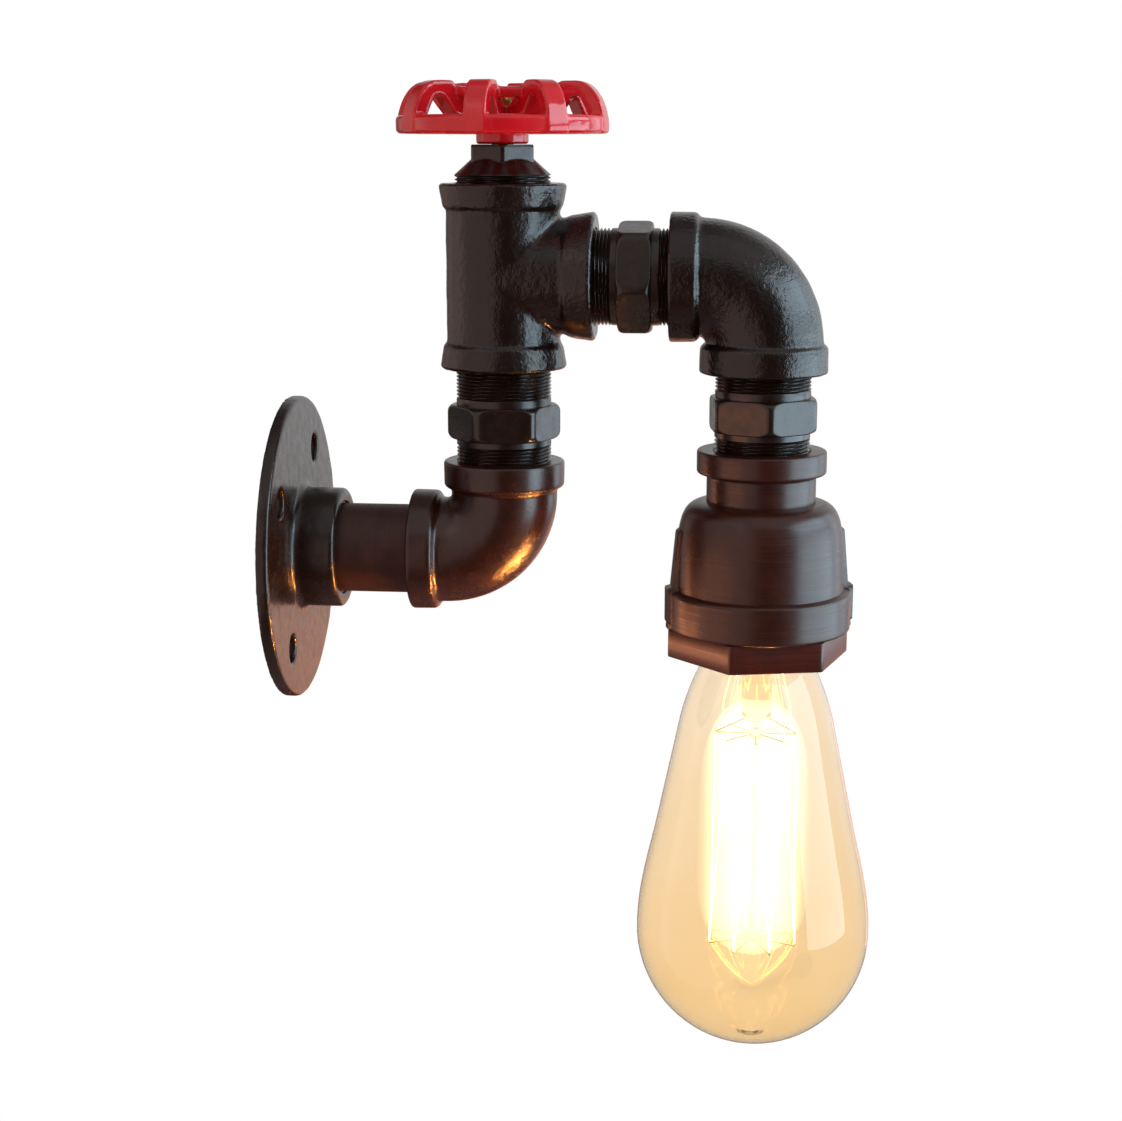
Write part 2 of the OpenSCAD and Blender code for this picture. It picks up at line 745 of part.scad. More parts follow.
module handwheel() {
  rim_r = wheel_r - rib_proud;
  inner_r = rim_r - wheel_rim_w;
  rim_edge = 0.8;
  crown_top = wheel_h - crown_drop;
  crown_end = crown_top - crown_h;
  half = crown_w / 2;
  edge = 0.6;
  color("#c1202c")
    translate([tee_x, 0, wheel_z])
      difference() {
        union() {
          rotate_extrude()
            polygon([
              [inner_r, edge], [inner_r + edge, 0], [rim_r - rim_edge, 0], [rim_r, rim_edge],
              [rim_r, wheel_rim_h - rim_edge], [rim_r - rim_edge, wheel_rim_h],
              [inner_r + edge, wheel_rim_h], [inner_r, wheel_rim_h - edge]
            ]);
          rotate_extrude()
            polygon([
              [crown_r - half, crown_end + edge], [crown_r - half + edge, crown_end],
              [crown_r + half - edge, crown_end], [crown_r + half, crown_end + edge],
              [crown_r + half, crown_top - edge], [crown_r + half - edge, crown_top],
              [crown_r - half + edge, crown_top], [crown_r - half, crown_top - edge]
            ]);
          for (i = [0 : rib_count - 1])
            rotate(wheel_turn + 360 * i / rib_count)
              rotate([90, 0, 0])
                linear_extrude(height = rib_w, center = true)
                  rib_outline();
          translate([0, 0, -wheel_hub_drop]) bead(wheel_hub_d, wheel_hub_drop + wheel_hub_top, 0.5);
        }
        translate([0, 0, -wheel_hub_drop - 1])
          cylinder(r = spindle_d / 2 + fit_gap, h = wheel_hub_drop + wheel_hub_top + 2);
        translate([0, 0, wheel_hub_top]) cylinder(d = wheel_nut_af / cos(30) + 2, h = 3);
      }
}

module spindle() {
  start = plate_end - dimmer_h + 3.3;
  seat = wheel_z + wheel_hub_top;
  color("#b8923f")
    translate([tee_x, 0, 0]) {
      translate([0, 0, start]) cylinder(d = spindle_d, h = seat - start - 0.4);
      translate([0, 0, seat - 0.4]) cylinder(d = spindle_d - 1, h = 0.4 + washer_t + wheel_nut_h + 0.6);
    }
}

module wheel_washer() {
  color("#b9b9b4")
    translate([tee_x, 0, wheel_z + wheel_hub_top])
      difference() {
        cylinder(d = wheel_nut_af / cos(30) + 0.6, h = washer_t);
        translate([0, 0, -1]) cylinder(r = spindle_d / 2 - 0.4, h = washer_t + 2);
      }
}

module wheel_nut() {
  color("#c79a3e")
    translate([tee_x, 0, wheel_z + wheel_hub_top + washer_t])
      difference() {
        hexagon(wheel_nut_af, wheel_nut_h, 10, 0.5);
        translate([0, 0, -1]) cylinder(d = spindle_d - 1 + 2 * fit_gap, h = wheel_nut_h + 2);
      }
}

module upper_elbow() {
  color("#332a28")
    translate([head_x, 0, arm_z])
      rotate([180, 0, 0]) elbow(upper_elbow_d, upper_bead_d, upper_bead_h, upper_bend_r);
}

module drop_hex_nipple() {
  color("#332b29")
    translate([head_x, 0, bell_top + drop_show / 2 - drop_hex_shift]) hex_nipple(drop_hex_turn);
}

// Solid outside of the bell, from its top face down
module bell_outside() {
  band_z = bell_end + bell_band_h;
  neck_z = bell_top - bell_neck_h;
  collar_r = bell_collar_d / 2;
  collar_end = bell_top - bell_collar_h;
  band_r = bell_band_d / 2;
  rotate_extrude()
    polygon(concat(
      [[0, bell_top], [collar_r - bead_edge, bell_top], [collar_r, bell_top - bead_edge]],
      [[collar_r, collar_end + bead_edge], [collar_r - bead_edge, collar_end]],
      [[bell_neck_d / 2, collar_end - 1]],
      curve(
        [bell_neck_d / 2, neck_z],
        [bell_d / 2 - 0.7, neck_z],
        [bell_d / 2 - 0.5, neck_z - 6],
        [bell_d / 2, band_z + 0.6],
        12
      ),
      [[band_r - band_edge, band_z], [band_r, band_z - band_edge]],
      [[band_r, bell_end + band_edge], [band_r - band_edge, bell_end], [0, bell_end]]
    ));
}

module bell() {
  band_z = bell_end + bell_band_h;
  thread_top = bell_end + bush_grip + bell_room;
  root_r = bush_thread_d / 2 + thread_gap + 0.5;
  lug_z = 1.9;
  top_room = 0.6;
  color("#2e2624")
    translate([head_x, 0, 0])
      difference() {
        union() {
          bell_outside();
          for (turn = [bell_rib_turn, bell_rib_turn + 180])
            rotate(turn) {
              rotate([90, 0, 0])
                linear_extrude(height = bell_rib_w, center = true)
                  polygon([
                    [root_r, band_z - 1], [root_r, band_z + bell_rib_h - 2],
                    [bell_d / 2 - 1, band_z + bell_rib_h], [bell_d / 2, band_z + bell_rib_h - 0.7],
                    [bell_d / 2 + bell_rib_proud, band_z - 1]
                  ]);
              translate([root_r, -bell_rib_w / 2 - 0.5, bell_end + lug_z])
                cube([bell_band_d / 2 + bell_lug_proud - root_r, bell_rib_w + 1, bell_band_h - 0.4]);
            }
        }
        translate([0, 0, ledge_top]) cylinder(r = socket_r, h = bell_socket_h + 1);
        translate([0, 0, ledge_end - 1]) cylinder(d = ledge_hole_d, h = ledge_t + 2);
        rotate_extrude()
          polygon([
            [0, ledge_end], [holder_d / 2 + top_room, ledge_end],
            [holder_d / 2 + top_room, ledge_end - bell_room],
            [holder_d / 2 + bell_room, ledge_end - 3 * bell_room], [holder_d / 2 + bell_room, thread_top],
            [bush_thread_d / 2 + thread_gap, thread_top - 1],
            [bush_thread_d / 2 + thread_gap, bell_end - 1], [0, bell_end - 1]
          ]);
      }
}

module hex_bush() {
  color("#2e2624")
    translate([head_x, 0, 0])
      difference() {
        union() {
          translate([0, 0, bush_end])
            rotate(bush_turn) cylinder(d = bush_af / cos(30), h = bush_hex_h, $fn = 6);
          translate([0, 0, bell_end - eps]) cylinder(r = bush_bore_d / 2 + bush_wall, h = 1);
          translate([0, 0, bell_end + 0.9]) threaded(bush_grip - 0.9, bush_thread_d / 2);
        }
        translate([0, 0, bush_end - 1]) cylinder(d = bush_bore_d, h = bush_hex_h + bush_grip + 2);
      }
}

module carrier_washer() {
  color("#b9b9b4")
    translate([head_x, 0, ledge_top])
      difference() {
        cylinder(r = thread_r - 0.2, h = carrier_t);
        translate([0, 0, -1]) cylinder(d = stud_d + 2 * fit_gap, h = carrier_t + 2);
      }
}

module hollow_stud() {
  start = ledge_end - strap_t - 2.5;
  len = ledge_top + carrier_t + stud_nut_h + 1 - start;
  color("#b58b3a")
    translate([head_x, 0, start])
      difference() {
        cylinder(d = stud_d, h = len);
        translate([0, 0, -1]) cylinder(d = stud_bore_d, h = len + 2);
      }
}

module stud_nut() {
  color("#b58b3a")
    translate([head_x, 0, ledge_top + carrier_t])
      difference() {
        hexagon(stud_nut_af, stud_nut_h, 0, 0.6);
        translate([0, 0, -1]) cylinder(d = stud_d + 2 * fit_gap, h = stud_nut_h + 2);
      }
}

module holder_strap() {
  color("#b9b9b4")
    translate([head_x, 0, holder_top])
      difference() {
        cylinder(d = holder_d - 3, h = strap_t);
        translate([0, 0, -1]) cylinder(d = stud_d + 2 * fit_gap, h = strap_t + 2);
        for (y = [-strap_screw_r, strap_screw_r])
          translate([0, y, -1]) cylinder(d = strap_screw_d + 2 * fit_gap, h = strap_t + 2);
      }
}

module holder_body() {
  color("#efeae0")
    translate([head_x, 0, 0])
      difference() {
        translate([0, 0, holder_end]) bead(holder_d, holder_top - holder_end, 0.6);
        translate([0, 0, holder_end - 1]) cylinder(r = cavity_r, h = floor_end - holder_end + 1);
        translate([-chamber_l / 2, -chamber_w / 2, floor_top]) cube([chamber_l, chamber_w, chamber_h + 1]);
        for (y = [-strap_screw_r, strap_screw_r])
          translate([0, y, floor_end - 1])
            cylinder(d = strap_screw_d + 6 * fit_gap, h = holder_top - floor_end + 2);
      }
}

module screw_shell() {
  outer = wave(shell_r + shell_t + shell_wave, shell_wave, floor_end - 2, holder_end + 2, 40);
  inner = [for (p = outer) p - [shell_t, 0]];
  last = len(outer) - 1;
  color("#c79a3e")
    translate([head_x, 0, 0])
      rotate_extrude()
        polygon(concat(
          [[shell_r - 0.9, floor_end], [outer[0][0], floor_end]],
          outer,
          [for (i = [last : -1 : 0]) inner[i]],
          [[inner[0][0], floor_end - 0.6], [shell_r - 0.9, floor_end - 0.6]]
        ));
}

module centre_contact() {
  color("#c79a3e")
    translate([head_x, 0, 0]) {
      translate([0, 0, floor_end - 0.5]) cylinder(r = 4, h = 0.5);
      translate([0, 0, floor_end - contact_spring_h]) cylinder(r = 2.6, h = contact_spring_h - 0.5);
    }
}

module strap_screws() {
  color("#b9b9b4")
    for (y = [-strap_screw_r, strap_screw_r])
      translate([head_x, y, 0]) {
        translate([0, 0, floor_end]) cylinder(d = strap_screw_d, h = ledge_end - floor_end);
        difference() {
          translate([0, 0, floor_end - strap_head_h]) cylinder(d = strap_head_d, h = strap_head_h);
          translate([-strap_head_d, -0.4, floor_end - 1.5 * strap_head_h])
            cube([2 * strap_head_d, 0.8, strap_head_h]);
        }
      }
}

module holder_terminals() {
  color("#c79a3e")
    for (side = [0, 180])
      translate([head_x, 0, floor_top])
        rotate(side)
          translate([terminal_x, 0, 0]) {
            translate([0, -terminal_w / 2, 0]) cube([terminal_l, terminal_w, terminal_h]);
            translate([terminal_l / 2, 0, terminal_h]) cylinder(d = terminal_l - 1.1, h = 1.6);
          }
}

module head_cable() {
  start = swivel_x + joint_gap;
  sheath_z = holder_top - 3.5;
  color("#222222") {
    translate([start, 0, arm_z]) along_x() cylinder(d = cable_d, h = head_x - upper_bend_r - start);
    quarter(head_x - upper_bend_r, arm_z - upper_bend_r, upper_bend_r, 0, cable_d);
    translate([head_x, 0, sheath_z]) cylinder(d = cable_d, h = arm_z - upper_bend_r - sheath_z);
    for (side = [-1, 1])
      bar(
        [head_x + core_y * side, 0, sheath_z + 0.5],
        [head_x + (terminal_x + 0.3) * side, 0, floor_top + terminal_h - core_d],
        core_d
      );
  }
}

module bulb_cap() {
  outer = wave(cap_d / 2 - 0.1, cap_wave, rim_z + 4.5, shoulder_z - 1.2, 40);
  last = len(outer) - 1;
  wall = 0.35;
  color("#a9a39a")
    translate([head_x, 0, 0])
      rotate_extrude()
        polygon(concat(
          [[cap_d / 2, rim_z], [cap_d / 2, rim_z + 3.6]],
          outer,
          [[cap_d / 2 - 1.6, shoulder_z], [insulator_d / 2 - 0.8, shoulder_z]],
          [[insulator_d / 2 - 0.8, shoulder_z - wall]],
          [[cap_d / 2 - 1.6 - wall, shoulder_z - wall]],
          [for (i = [last : -1 : 0]) outer[i] - [wall, 0]],
          [[cap_d / 2 - wall, rim_z + 3.6], [cap_d / 2 - wall, rim_z]]
        ));
}

module cap_insulator() {
  color("#20202a")
    translate([head_x, 0, shoulder_z])
      cylinder(d1 = insulator_d, d2 = contact_d + 1.6, h = insulator_h);
}

module cap_contact() {
  contact_h = floor_end - contact_spring_h - cap_gap - shoulder_z - insulator_h;
  color("#b9b9b4")
    translate([head_x, 0, shoulder_z + insulator_h])
      cylinder(d1 = contact_d, d2 = contact_d - 2, h = contact_h);
}

// Outside line of the glass from the neck's top down to the tip, drawn t inside the surface
function glass_line(t) = concat(
  [[neck_r - t, rim_z + 4.3], [neck_r - t, rim_z - 0.3]],
  curve(
    [neck_r - t, rim_z - 0.6],
    [neck_r + neck_flare * (bulb_waist_d / 2 - neck_r) - t, rim_z - 0.27 * bulb_waist_drop],
    [bulb_waist_d / 2 - 0.6 * flare * bulb_ease - t, rim_z - bulb_waist_drop + 0.6 * bulb_ease],
    [bulb_waist_d / 2 - t, rim_z - bulb_waist_drop],
    10
  ),
  curve(
    [bulb_flank_d / 2 - t, rim_z - bulb_flank_drop],
    [bulb_flank_d / 2 + flare * bulb_ease - t, rim_z - bulb_flank_drop - bulb_ease],
    [bulb_r - t, globe_z + 1.15 * bulb_ease],
    [bulb_r - t, globe_z],
    10
  ),
  arc([0, globe_z], bulb_r - t, -5, -85, 16),
  [[0, globe_z - bulb_r + t]]
);

module bulb_glass() {
  outer = glass_line(0);
  inner = glass_line(glass_t);
  last = len(outer) - 1;
  color("#d8963c")
    translate([head_x, 0, 0])
      rotate_extrude()
        polygon(concat(outer, [for (i = [last : -1 : 0]) inner[i]]));
}

module bulb_stem() {
  color("#d9c9a8")
    translate([head_x, 0, 0])
      rotate_extrude()
        polygon(concat(
          [[0, rim_z - 4], [neck_r - glass_t - 1, rim_z + 4], [neck_r - glass_t - 0.05, rim_z + 4]],
          curve(
            [neck_r - glass_t - 0.05, rim_z + 2.6],
            [6, rim_z],
            [stem_r, rim_z - 2],
            [stem_r, rim_z - 8],
            6
          ),
          [[stem_r, cage_top + 5.5], [stem_r - 1.4, cage_top + 4]],
          [[rod_r, cage_top + 3.4], [rod_r, cage_top + 1.6], [hook_bead_r, cage_top + 0.9]],
          [[hook_bead_r, cage_top - 0.9], [rod_r, cage_top - 1.6]],
          [[rod_r, cage_end + 1.6], [hook_bead_r, cage_end + 0.9]],
          arc([0, cage_end - 0.4], hook_bead_r, 0, -90, 6)
        ));
}

module bulb_hooks() {
  color("#8d8d92")
    for (i = [0 : cage_count - 1]) {
      a = 360 * i / cage_count;
      b = a + 180 / cage_count;
      bar(
        [head_x + hook_start_r * cos(a), hook_start_r * sin(a), cage_top],
        [head_x + cage_top_r * cos(a), cage_top_r * sin(a), cage_top],
        wire_d
      );
      bar(
        [head_x + hook_start_r * cos(b), hook_start_r * sin(b), cage_end],
        [head_x + cage_end_r * cos(b), cage_end_r * sin(b), cage_end],
        wire_d
      );
    }
}

module bulb_leads() {
  color("#9a9aa0")
    for (i = [0, cage_count / 2]) {
      a = 360 * i / cage_count;
      bar(
        [head_x + 2.6 * cos(a + 20), 2.6 * sin(a + 20), cage_top + 5],
        [head_x + cage_top_r * cos(a), cage_top_r * sin(a), cage_top + 0.2],
        wire_d
      );
    }
}

module filament() {
  color("#ffd27a")
    for (i = [0 : cage_count - 1]) {
      a = 360 * i / cage_count;
      top = [head_x + cage_top_r * cos(a), cage_top_r * sin(a), cage_top];
      translate(top) sphere(d = filament_d + 0.1, $fn = 24);
      for (side = [-1, 1]) {
        b = a + side * 180 / cage_count;
        bar(top, [head_x + cage_end_r * cos(b), cage_end_r * sin(b), cage_end], filament_d);
      }
      c = a + 180 / cage_count;
      translate([head_x + cage_end_r * cos(c), cage_end_r * sin(c), cage_end])
        sphere(d = filament_d + 0.1, $fn = 24);
    }
}

wall_flange();
wall_pipe();
lower_elbow();
lower_hex_nipple();
connector_block();
connector_screws();
wall_cable();
tee();
bonnet();
dimmer();
dimmer_nut();
dimmer_leads();
arm_hex_nipple();
arm_cable();
handwheel();
spindle();
wheel_washer();
wheel_nut();
upper_elbow();
drop_hex_nipple();
bell();
hex_bush();
carrier_washer();
hollow_stud();
stud_nut();
holder_strap();
holder_body();
screw_shell();
centre_contact();
strap_screws();
holder_terminals();
head_cable();
bulb_cap();
cap_insulator();
cap_contact();
bulb_glass();
bulb_stem();
bulb_hooks();
bulb_leads();
filament();
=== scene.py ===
import json
import math

import bmesh
import bpy
import numpy as np
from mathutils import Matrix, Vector, noise

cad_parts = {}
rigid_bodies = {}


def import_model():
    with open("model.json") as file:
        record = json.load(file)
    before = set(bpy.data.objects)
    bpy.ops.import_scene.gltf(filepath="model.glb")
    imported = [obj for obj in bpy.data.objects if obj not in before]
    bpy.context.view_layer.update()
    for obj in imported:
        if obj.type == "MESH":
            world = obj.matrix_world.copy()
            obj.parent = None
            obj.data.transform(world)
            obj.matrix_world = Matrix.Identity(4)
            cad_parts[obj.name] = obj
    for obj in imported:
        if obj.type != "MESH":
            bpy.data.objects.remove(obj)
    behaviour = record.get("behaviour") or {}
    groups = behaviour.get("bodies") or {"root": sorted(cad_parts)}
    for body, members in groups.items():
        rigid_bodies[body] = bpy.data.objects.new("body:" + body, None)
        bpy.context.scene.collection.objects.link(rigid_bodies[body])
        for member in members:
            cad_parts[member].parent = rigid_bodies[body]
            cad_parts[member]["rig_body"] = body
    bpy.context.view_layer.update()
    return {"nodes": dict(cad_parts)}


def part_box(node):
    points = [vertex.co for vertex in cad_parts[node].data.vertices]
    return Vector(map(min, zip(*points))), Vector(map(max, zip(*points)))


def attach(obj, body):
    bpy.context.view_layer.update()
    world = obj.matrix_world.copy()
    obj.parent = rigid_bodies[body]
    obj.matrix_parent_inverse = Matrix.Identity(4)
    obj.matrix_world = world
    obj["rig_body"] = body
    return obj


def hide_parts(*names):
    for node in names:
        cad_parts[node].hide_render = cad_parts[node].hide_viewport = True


# Looks of the pipe wall light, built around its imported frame
# Metres, origin at the centre of the flange's back face, +X out of the wall, +Z up
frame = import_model()
MM = 0.001
TURN = 2 * math.pi


# Camera at the photograph's viewing angle
VIEW_AZIMUTH = math.radians(5.80)
VIEW_PITCH = math.radians(11.81)
VIEW_DISTANCE = 0.5662
VIEW_TARGET = Vector((0.07754, 0.0, -0.0027))
VIEW_LENS = 64.01
VIEW_SENSOR = 36.0


# Places and sizes read from the frame
def middle(node):
    low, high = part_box(node)
    return (low + high) / 2


RUN_X = middle("lower_hex_nipple").x
HEAD_X = middle("drop_hex_nipple").x
ARM_Z = middle("arm_hex_nipple").z
TEE_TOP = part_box("tee")[1].z
HUB_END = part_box("handwheel")[0].z
BELL_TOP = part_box("bell")[1].z
BELL_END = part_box("bell")[0].z
BUSH_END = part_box("hex_bush")[0].z
CAP_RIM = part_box("bulb_cap")[0].z
CAP_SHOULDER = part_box("bulb_cap")[1].z
GLASS_R = (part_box("bulb_glass")[1].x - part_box("bulb_glass")[0].x) / 2
GLASS_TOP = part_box("bulb_glass")[1].z
GLASS_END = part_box("bulb_glass")[0].z
GLOBE_Z = GLASS_END + GLASS_R
CAGE_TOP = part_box("filament")[1].z
CAGE_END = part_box("filament")[0].z

# Pipe threads, drawn in so many rows to a pitch, and the nipples' hexagons, whose corners are
# cut off, drop away over a depth at each end and run into the sides over a short blend
THREAD_R = 13.25 * MM
THREAD_PITCH = 1.0 * MM
THREAD_DEPTH = 0.75 * MM
THREAD_ROWS = 9
THREAD_GAP = 0.06 * MM
SOCKET_R = 13.31 * MM
SOCKET_DEPTH = 11 * MM
NIPPLE_AF = 28 * MM
NIPPLE_HEX_H = 9.5 * MM
NIPPLE_NECK = 2 * MM
NIPPLE_BORE_R = 9.5 * MM
HEX_EASE = 2 * MM
HEX_CUT = 0.4 * MM
HEX_DROP = 1.9 * MM
HEX_EDGE = 0.4 * MM
HEX_BLEND = 0.25 * MM
HEX_STEPS = (0, 0.015, 0.04, 0.08, 0.13, 0.2, 0.3, 0.42, 0.57, 0.75, 1.0)

# Castings: the elbows with a bead at each end, and the grain of the sand mould
ELBOW_LEG = 26 * MM
ELBOW_BORE_R = 11 * MM
MOUTH_EASE = 0.4 * MM
BEAD_DRAFT = 0.1 * MM
BEAD_FOOT = 1.1 * MM
BEAD_EASE = 0.9 * MM
TEE_R = 15.7 * MM
CAST_GRAIN = 5 * MM

# Bell with its two ribs and lugs and the ledge inside, bush, and bonnet with the plate inside
BELL_COLLAR_R = 18 * MM
BELL_COLLAR_H = 6.4 * MM
BELL_NECK_R = 15.2 * MM
BELL_NECK_H = 14.4 * MM
BELL_R = 23.7 * MM
BELL_EASE = 0.8 * MM
BELL_STEP = 0.5 * MM
BELL_GRIP = 13.4 * MM
CHAMBER_R = 19.4 * MM
THROAT_R = 17.6 * MM
BAND_R = 25.6 * MM
BAND_H = 10.7 * MM
RIB_TURN = math.radians(12)
RIB_HALF = 2.5 * MM
RIB_H = 17.5 * MM
RIB_PROUD = 1.6 * MM
LUG_HALF = 3 * MM
LUG_LOW = 1.9 * MM
LUG_HIGH = 12.2 * MM
LUG_PROUD = 1 * MM
LEDGE_DEPTH = 16 * MM
LEDGE_T = 2.5 * MM
LEDGE_HOLE_R = 10.8 * MM
BUSH_AF = 45 * MM
BUSH_TURN = 13
BUSH_THREAD_R = 20.4 * MM
BUSH_BORE_R = 18 * MM
BUSH_GRIP = 12 * MM
BUSH_EDGE = 0.45 * MM
BUSH_RELIEF = 0.9 * MM
BONNET_GRIP = 10 * MM
BONNET_SHOW = 2.4 * MM
BONNET_AF = 17 * MM
BONNET_TURN = 36.5
BONNET_PROUD = 0.2 * MM
BONNET_BORE_R = 8.8 * MM
BONNET_SEAT_R = 6.3 * MM
BONNET_HOLE_R = 3.55 * MM
CONE_SLOPE = 1.12
PLATE_BELOW = 3.6 * MM
PLATE_ABOVE = 0.4 * MM

# Bulb: screw cap, glass, filament and the light it gives
CAP_R = 13.2 * MM
CAP_PITCH = 3.63 * MM
CAP_WAVE = 0.8 * MM
CAP_WALL = 0.35 * MM
CAP_SKIRT = 4.2 * MM
CAP_FADE = 6 * MM
CAP_END_R = 9.4 * MM
CAP_SLOPE_IN = 1.7 * MM
NECK_R = 12.5 * MM
NECK_TUCK = 4.3 * MM
WAIST_R = 21.9 * MM
WAIST_DROP = 22.4 * MM
FLANK_R = 28.2 * MM
FLANK_DROP = 52.5 * MM
GLASS_T = 0.8 * MM
TIP_R = 4.4 * MM
TIP_H = 1.5 * MM
STRANDS = 16
STRAND_R = 0.2 * MM
CAGE_TOP_R = 11.5 * MM
CAGE_END_R = 13.3 * MM
BEND_POINTS = 7
BEND_REACH = 1.6 * MM
GLARE_REACH = 4 * MM
GLARE_ABOVE = 10 * MM
FILAMENT_RADIANCE = 42.0
FILAMENT_REACH = 18 * MM
FILAMENT_TINT = (1.0, 0.42, 0.12)


# Mesh building
def colour(code):
    """Linear colour, with alpha, of a web colour such as #2b2321."""
    parts = [int(code[i:i + 2], 16) / 255 for i in (1, 3, 5)]
    return [c / 12.92 if c <= 0.04045 else ((c + 0.055) / 1.055) ** 2.4 for c in parts] + [1.0]


def ring_mesh(name, rings, closed=True):
    """Mesh object through rings of points, where a ring of one point shuts the form at its axis."""
    points = np.concatenate(rings)
    starts = np.cumsum([0] + [len(r) for r in rings])
    last = len(rings) if closed else len(rings) - 1
    faces = []
    for i in range(last):
        j = (i + 1) % len(rings)
        a, b, na, nb = starts[i], starts[j], len(rings[i]), len(rings[j])
        for k in range(max(na, nb)):
            m = (k + 1) % max(na, nb)
            corners = [a + k % na, a + m % na, b + m % nb, b + k % nb]
            face = list(dict.fromkeys(int(c) for c in corners))
            if len(face) > 2:
                faces.append(face)
    mesh = bpy.data.meshes.new(name)
    mesh.from_pydata(points.tolist(), [], faces)
    work = bmesh.new()
    work.from_mesh(mesh)
    bmesh.ops.recalc_face_normals(work, faces=work.faces)
    work.to_mesh(mesh)
    work.free()
    obj = bpy.data.objects.new(name, mesh)
    bpy.context.scene.collection.objects.link(obj)
    return obj


def even_angles(count):
    return np.arange(count) * TURN / count


def hex_angles(turn, per_side):
    """Angles of one turn, gathered towards the six corners."""
    s = np.linspace(-1, 1, per_side, endpoint=False)
    side = math.radians(30) * (1.5 * s - 0.5 * s ** 3)
    return np.concatenate([math.radians(turn + 30 + 60 * k) + side for k in range(6)])


def hex_radius(angles, turn, flats):
    """Distance from the axis to a hexagon's side at each angle, for a width across flats."""
    from_side = (np.degrees(angles) - turn) % 60 - 30
    return flats / 2 / np.cos(np.radians(from_side))


def hex_corner(flats):
    """Distance from the axis to a hexagon's corners, for a width across flats."""
    return flats / 2 / math.cos(math.radians(30))


def thread_radius(angles, z, r, pitch, depth):
    """Distance from the axis to a single-start rounded thread at height z."""
    phase = (z / pitch - angles / TURN) % 1
    return r - depth * (0.5 - 0.5 * np.cos(TURN * phase))


def soften(line, size, steps=5):
    """The line with each inner corner eased by a curve that starts up to size before it."""
    pts = [np.array(p, float) for p in line]
    out = [pts[0]]
    for p, q, r in zip(pts, pts[1:], pts[2:]):
        before, after = np.linalg.norm(p - q), np.linalg.norm(r - q)
        start = q + (p - q) * min(size / before, 0.45)
        end = q + (r - q) * min(size / after, 0.45)
        for t in np.linspace(0, 1, steps):
            out.append((1 - t) ** 2 * start + 2 * t * (1 - t) * q + t * t * end)
    return out + [pts[-1]]


def refine(line, step):
    """The line with points added so that none lie further apart than step."""
    out = [np.array(line[0], float)]
    for p, q in zip(line, line[1:]):
        p, q = np.array(p, float), np.array(q, float)
        count = max(1, math.ceil(np.linalg.norm(q - p) / step))
        out += [p + (q - p) * i / count for i in range(1, count + 1)]
    return out


def cubic(p, q, r, s, steps):
    """Points on a cubic curve from p to s, shaped by q and r."""
    p, q, r, s = (np.array(v, float) for v in (p, q, r, s))
    ts = np.linspace(0, 1, steps)
    return [(1 - t) ** 3 * p + 3 * (1 - t) ** 2 * t * q + 3 * (1 - t) * t * t * r + t ** 3 * s for t in ts]


def lathe(name, rows, angles, at, along_x=False, closed=True):
    """Solid of rows (height, radius) about an axis through at; a radius may be one for each angle."""
    rings = []
    for z, r in rows:
        if np.ndim(r) == 0 and r <= 0:
            ring = np.array([[0.0, 0.0, z]])
        else:
            ring = np.stack([r * np.cos(angles), r * np.sin(angles), np.full(len(angles), z)], 1)
        if along_x:
            ring = np.stack([ring[:, 2], ring[:, 1], -ring[:, 0]], 1)
        rings.append(ring + np.array(at))
    return ring_mesh(name, rings, closed)


def cast_skin(obj, height):
    """Lifts and sinks the surface by up to height in patches, as a sand mould does."""
    mesh = obj.data
    moved = []
    for v in mesh.vertices:
        moved.append(v.co + v.normal * (height * noise.fractal(v.co / CAST_GRAIN, 1.0, 2.0, 3)))
    mesh.vertices.foreach_set("co", np.array(moved, np.float32).ravel())
    mesh.update()


def add_smoothing(obj, rounds):
    """Modifier that rounds the mesh by so many rounds of smoothing."""
    ease = obj.modifiers.new("ease", "SMOOTH")
    ease.factor = 0.5
    ease.iterations = rounds
    return ease


def remeshed(node, name, voxel, rounds):
    """Copy of a node with an even fine mesh, its edges rounded by so many rounds of smoothing."""
    mesh = frame["nodes"][node].data.copy()
    mesh.name = name
    mesh.materials.clear()
    work = bmesh.new()
    work.from_mesh(mesh)
    bmesh.ops.remove_doubles(work, verts=work.verts, dist=0.001 * MM)
    work.to_mesh(mesh)
    work.free()
    obj = bpy.data.objects.new(name, mesh)
    bpy.context.scene.collection.objects.link(obj)
    grid = obj.modifiers.new("grid", "REMESH")
    grid.mode = "VOXEL"
    grid.voxel_size = voxel
    add_smoothing(obj, rounds)
    return applied(obj)


def applied(obj):
    """The object with its modifiers made part of its mesh."""
    bpy.context.view_layer.update()
    mesh = bpy.data.meshes.new_from_object(obj.evaluated_get(bpy.context.evaluated_depsgraph_get()))
    old = obj.data
    obj.modifiers.clear()
    obj.data = mesh
    mesh.name = obj.name
    bpy.data.meshes.remove(old)
    return obj


def dress(obj, material, node, crease=40, replaced=True):
    """Gives a new piece its finish and sets it on its node's body, in that node's place if replaced."""
    obj.data.materials.clear()
    obj.data.materials.append(material)
    obj.data.shade_smooth()
    obj.data.set_sharp_from_angle(angle=math.radians(crease))
    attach(obj, frame["nodes"][node]["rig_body"])
    if replaced:
        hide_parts(node)


# Materials
def new_material(name, **plain):
    """Material with plain values on the shader's own sockets, named with _ for a space."""
    mat = bpy.data.materials.new(name)
    mat.use_nodes = True
    for socket, value in plain.items():
        shader_of(mat).inputs[socket.replace("_", " ")].default_value = value
    return mat


def shader_of(mat):
    return mat.node_tree.nodes["Principled BSDF"]


def add_node(mat, kind, **settings):
    node = mat.node_tree.nodes.new(kind)
    for key, value in settings.items():
        setattr(node, key, value)
    return node


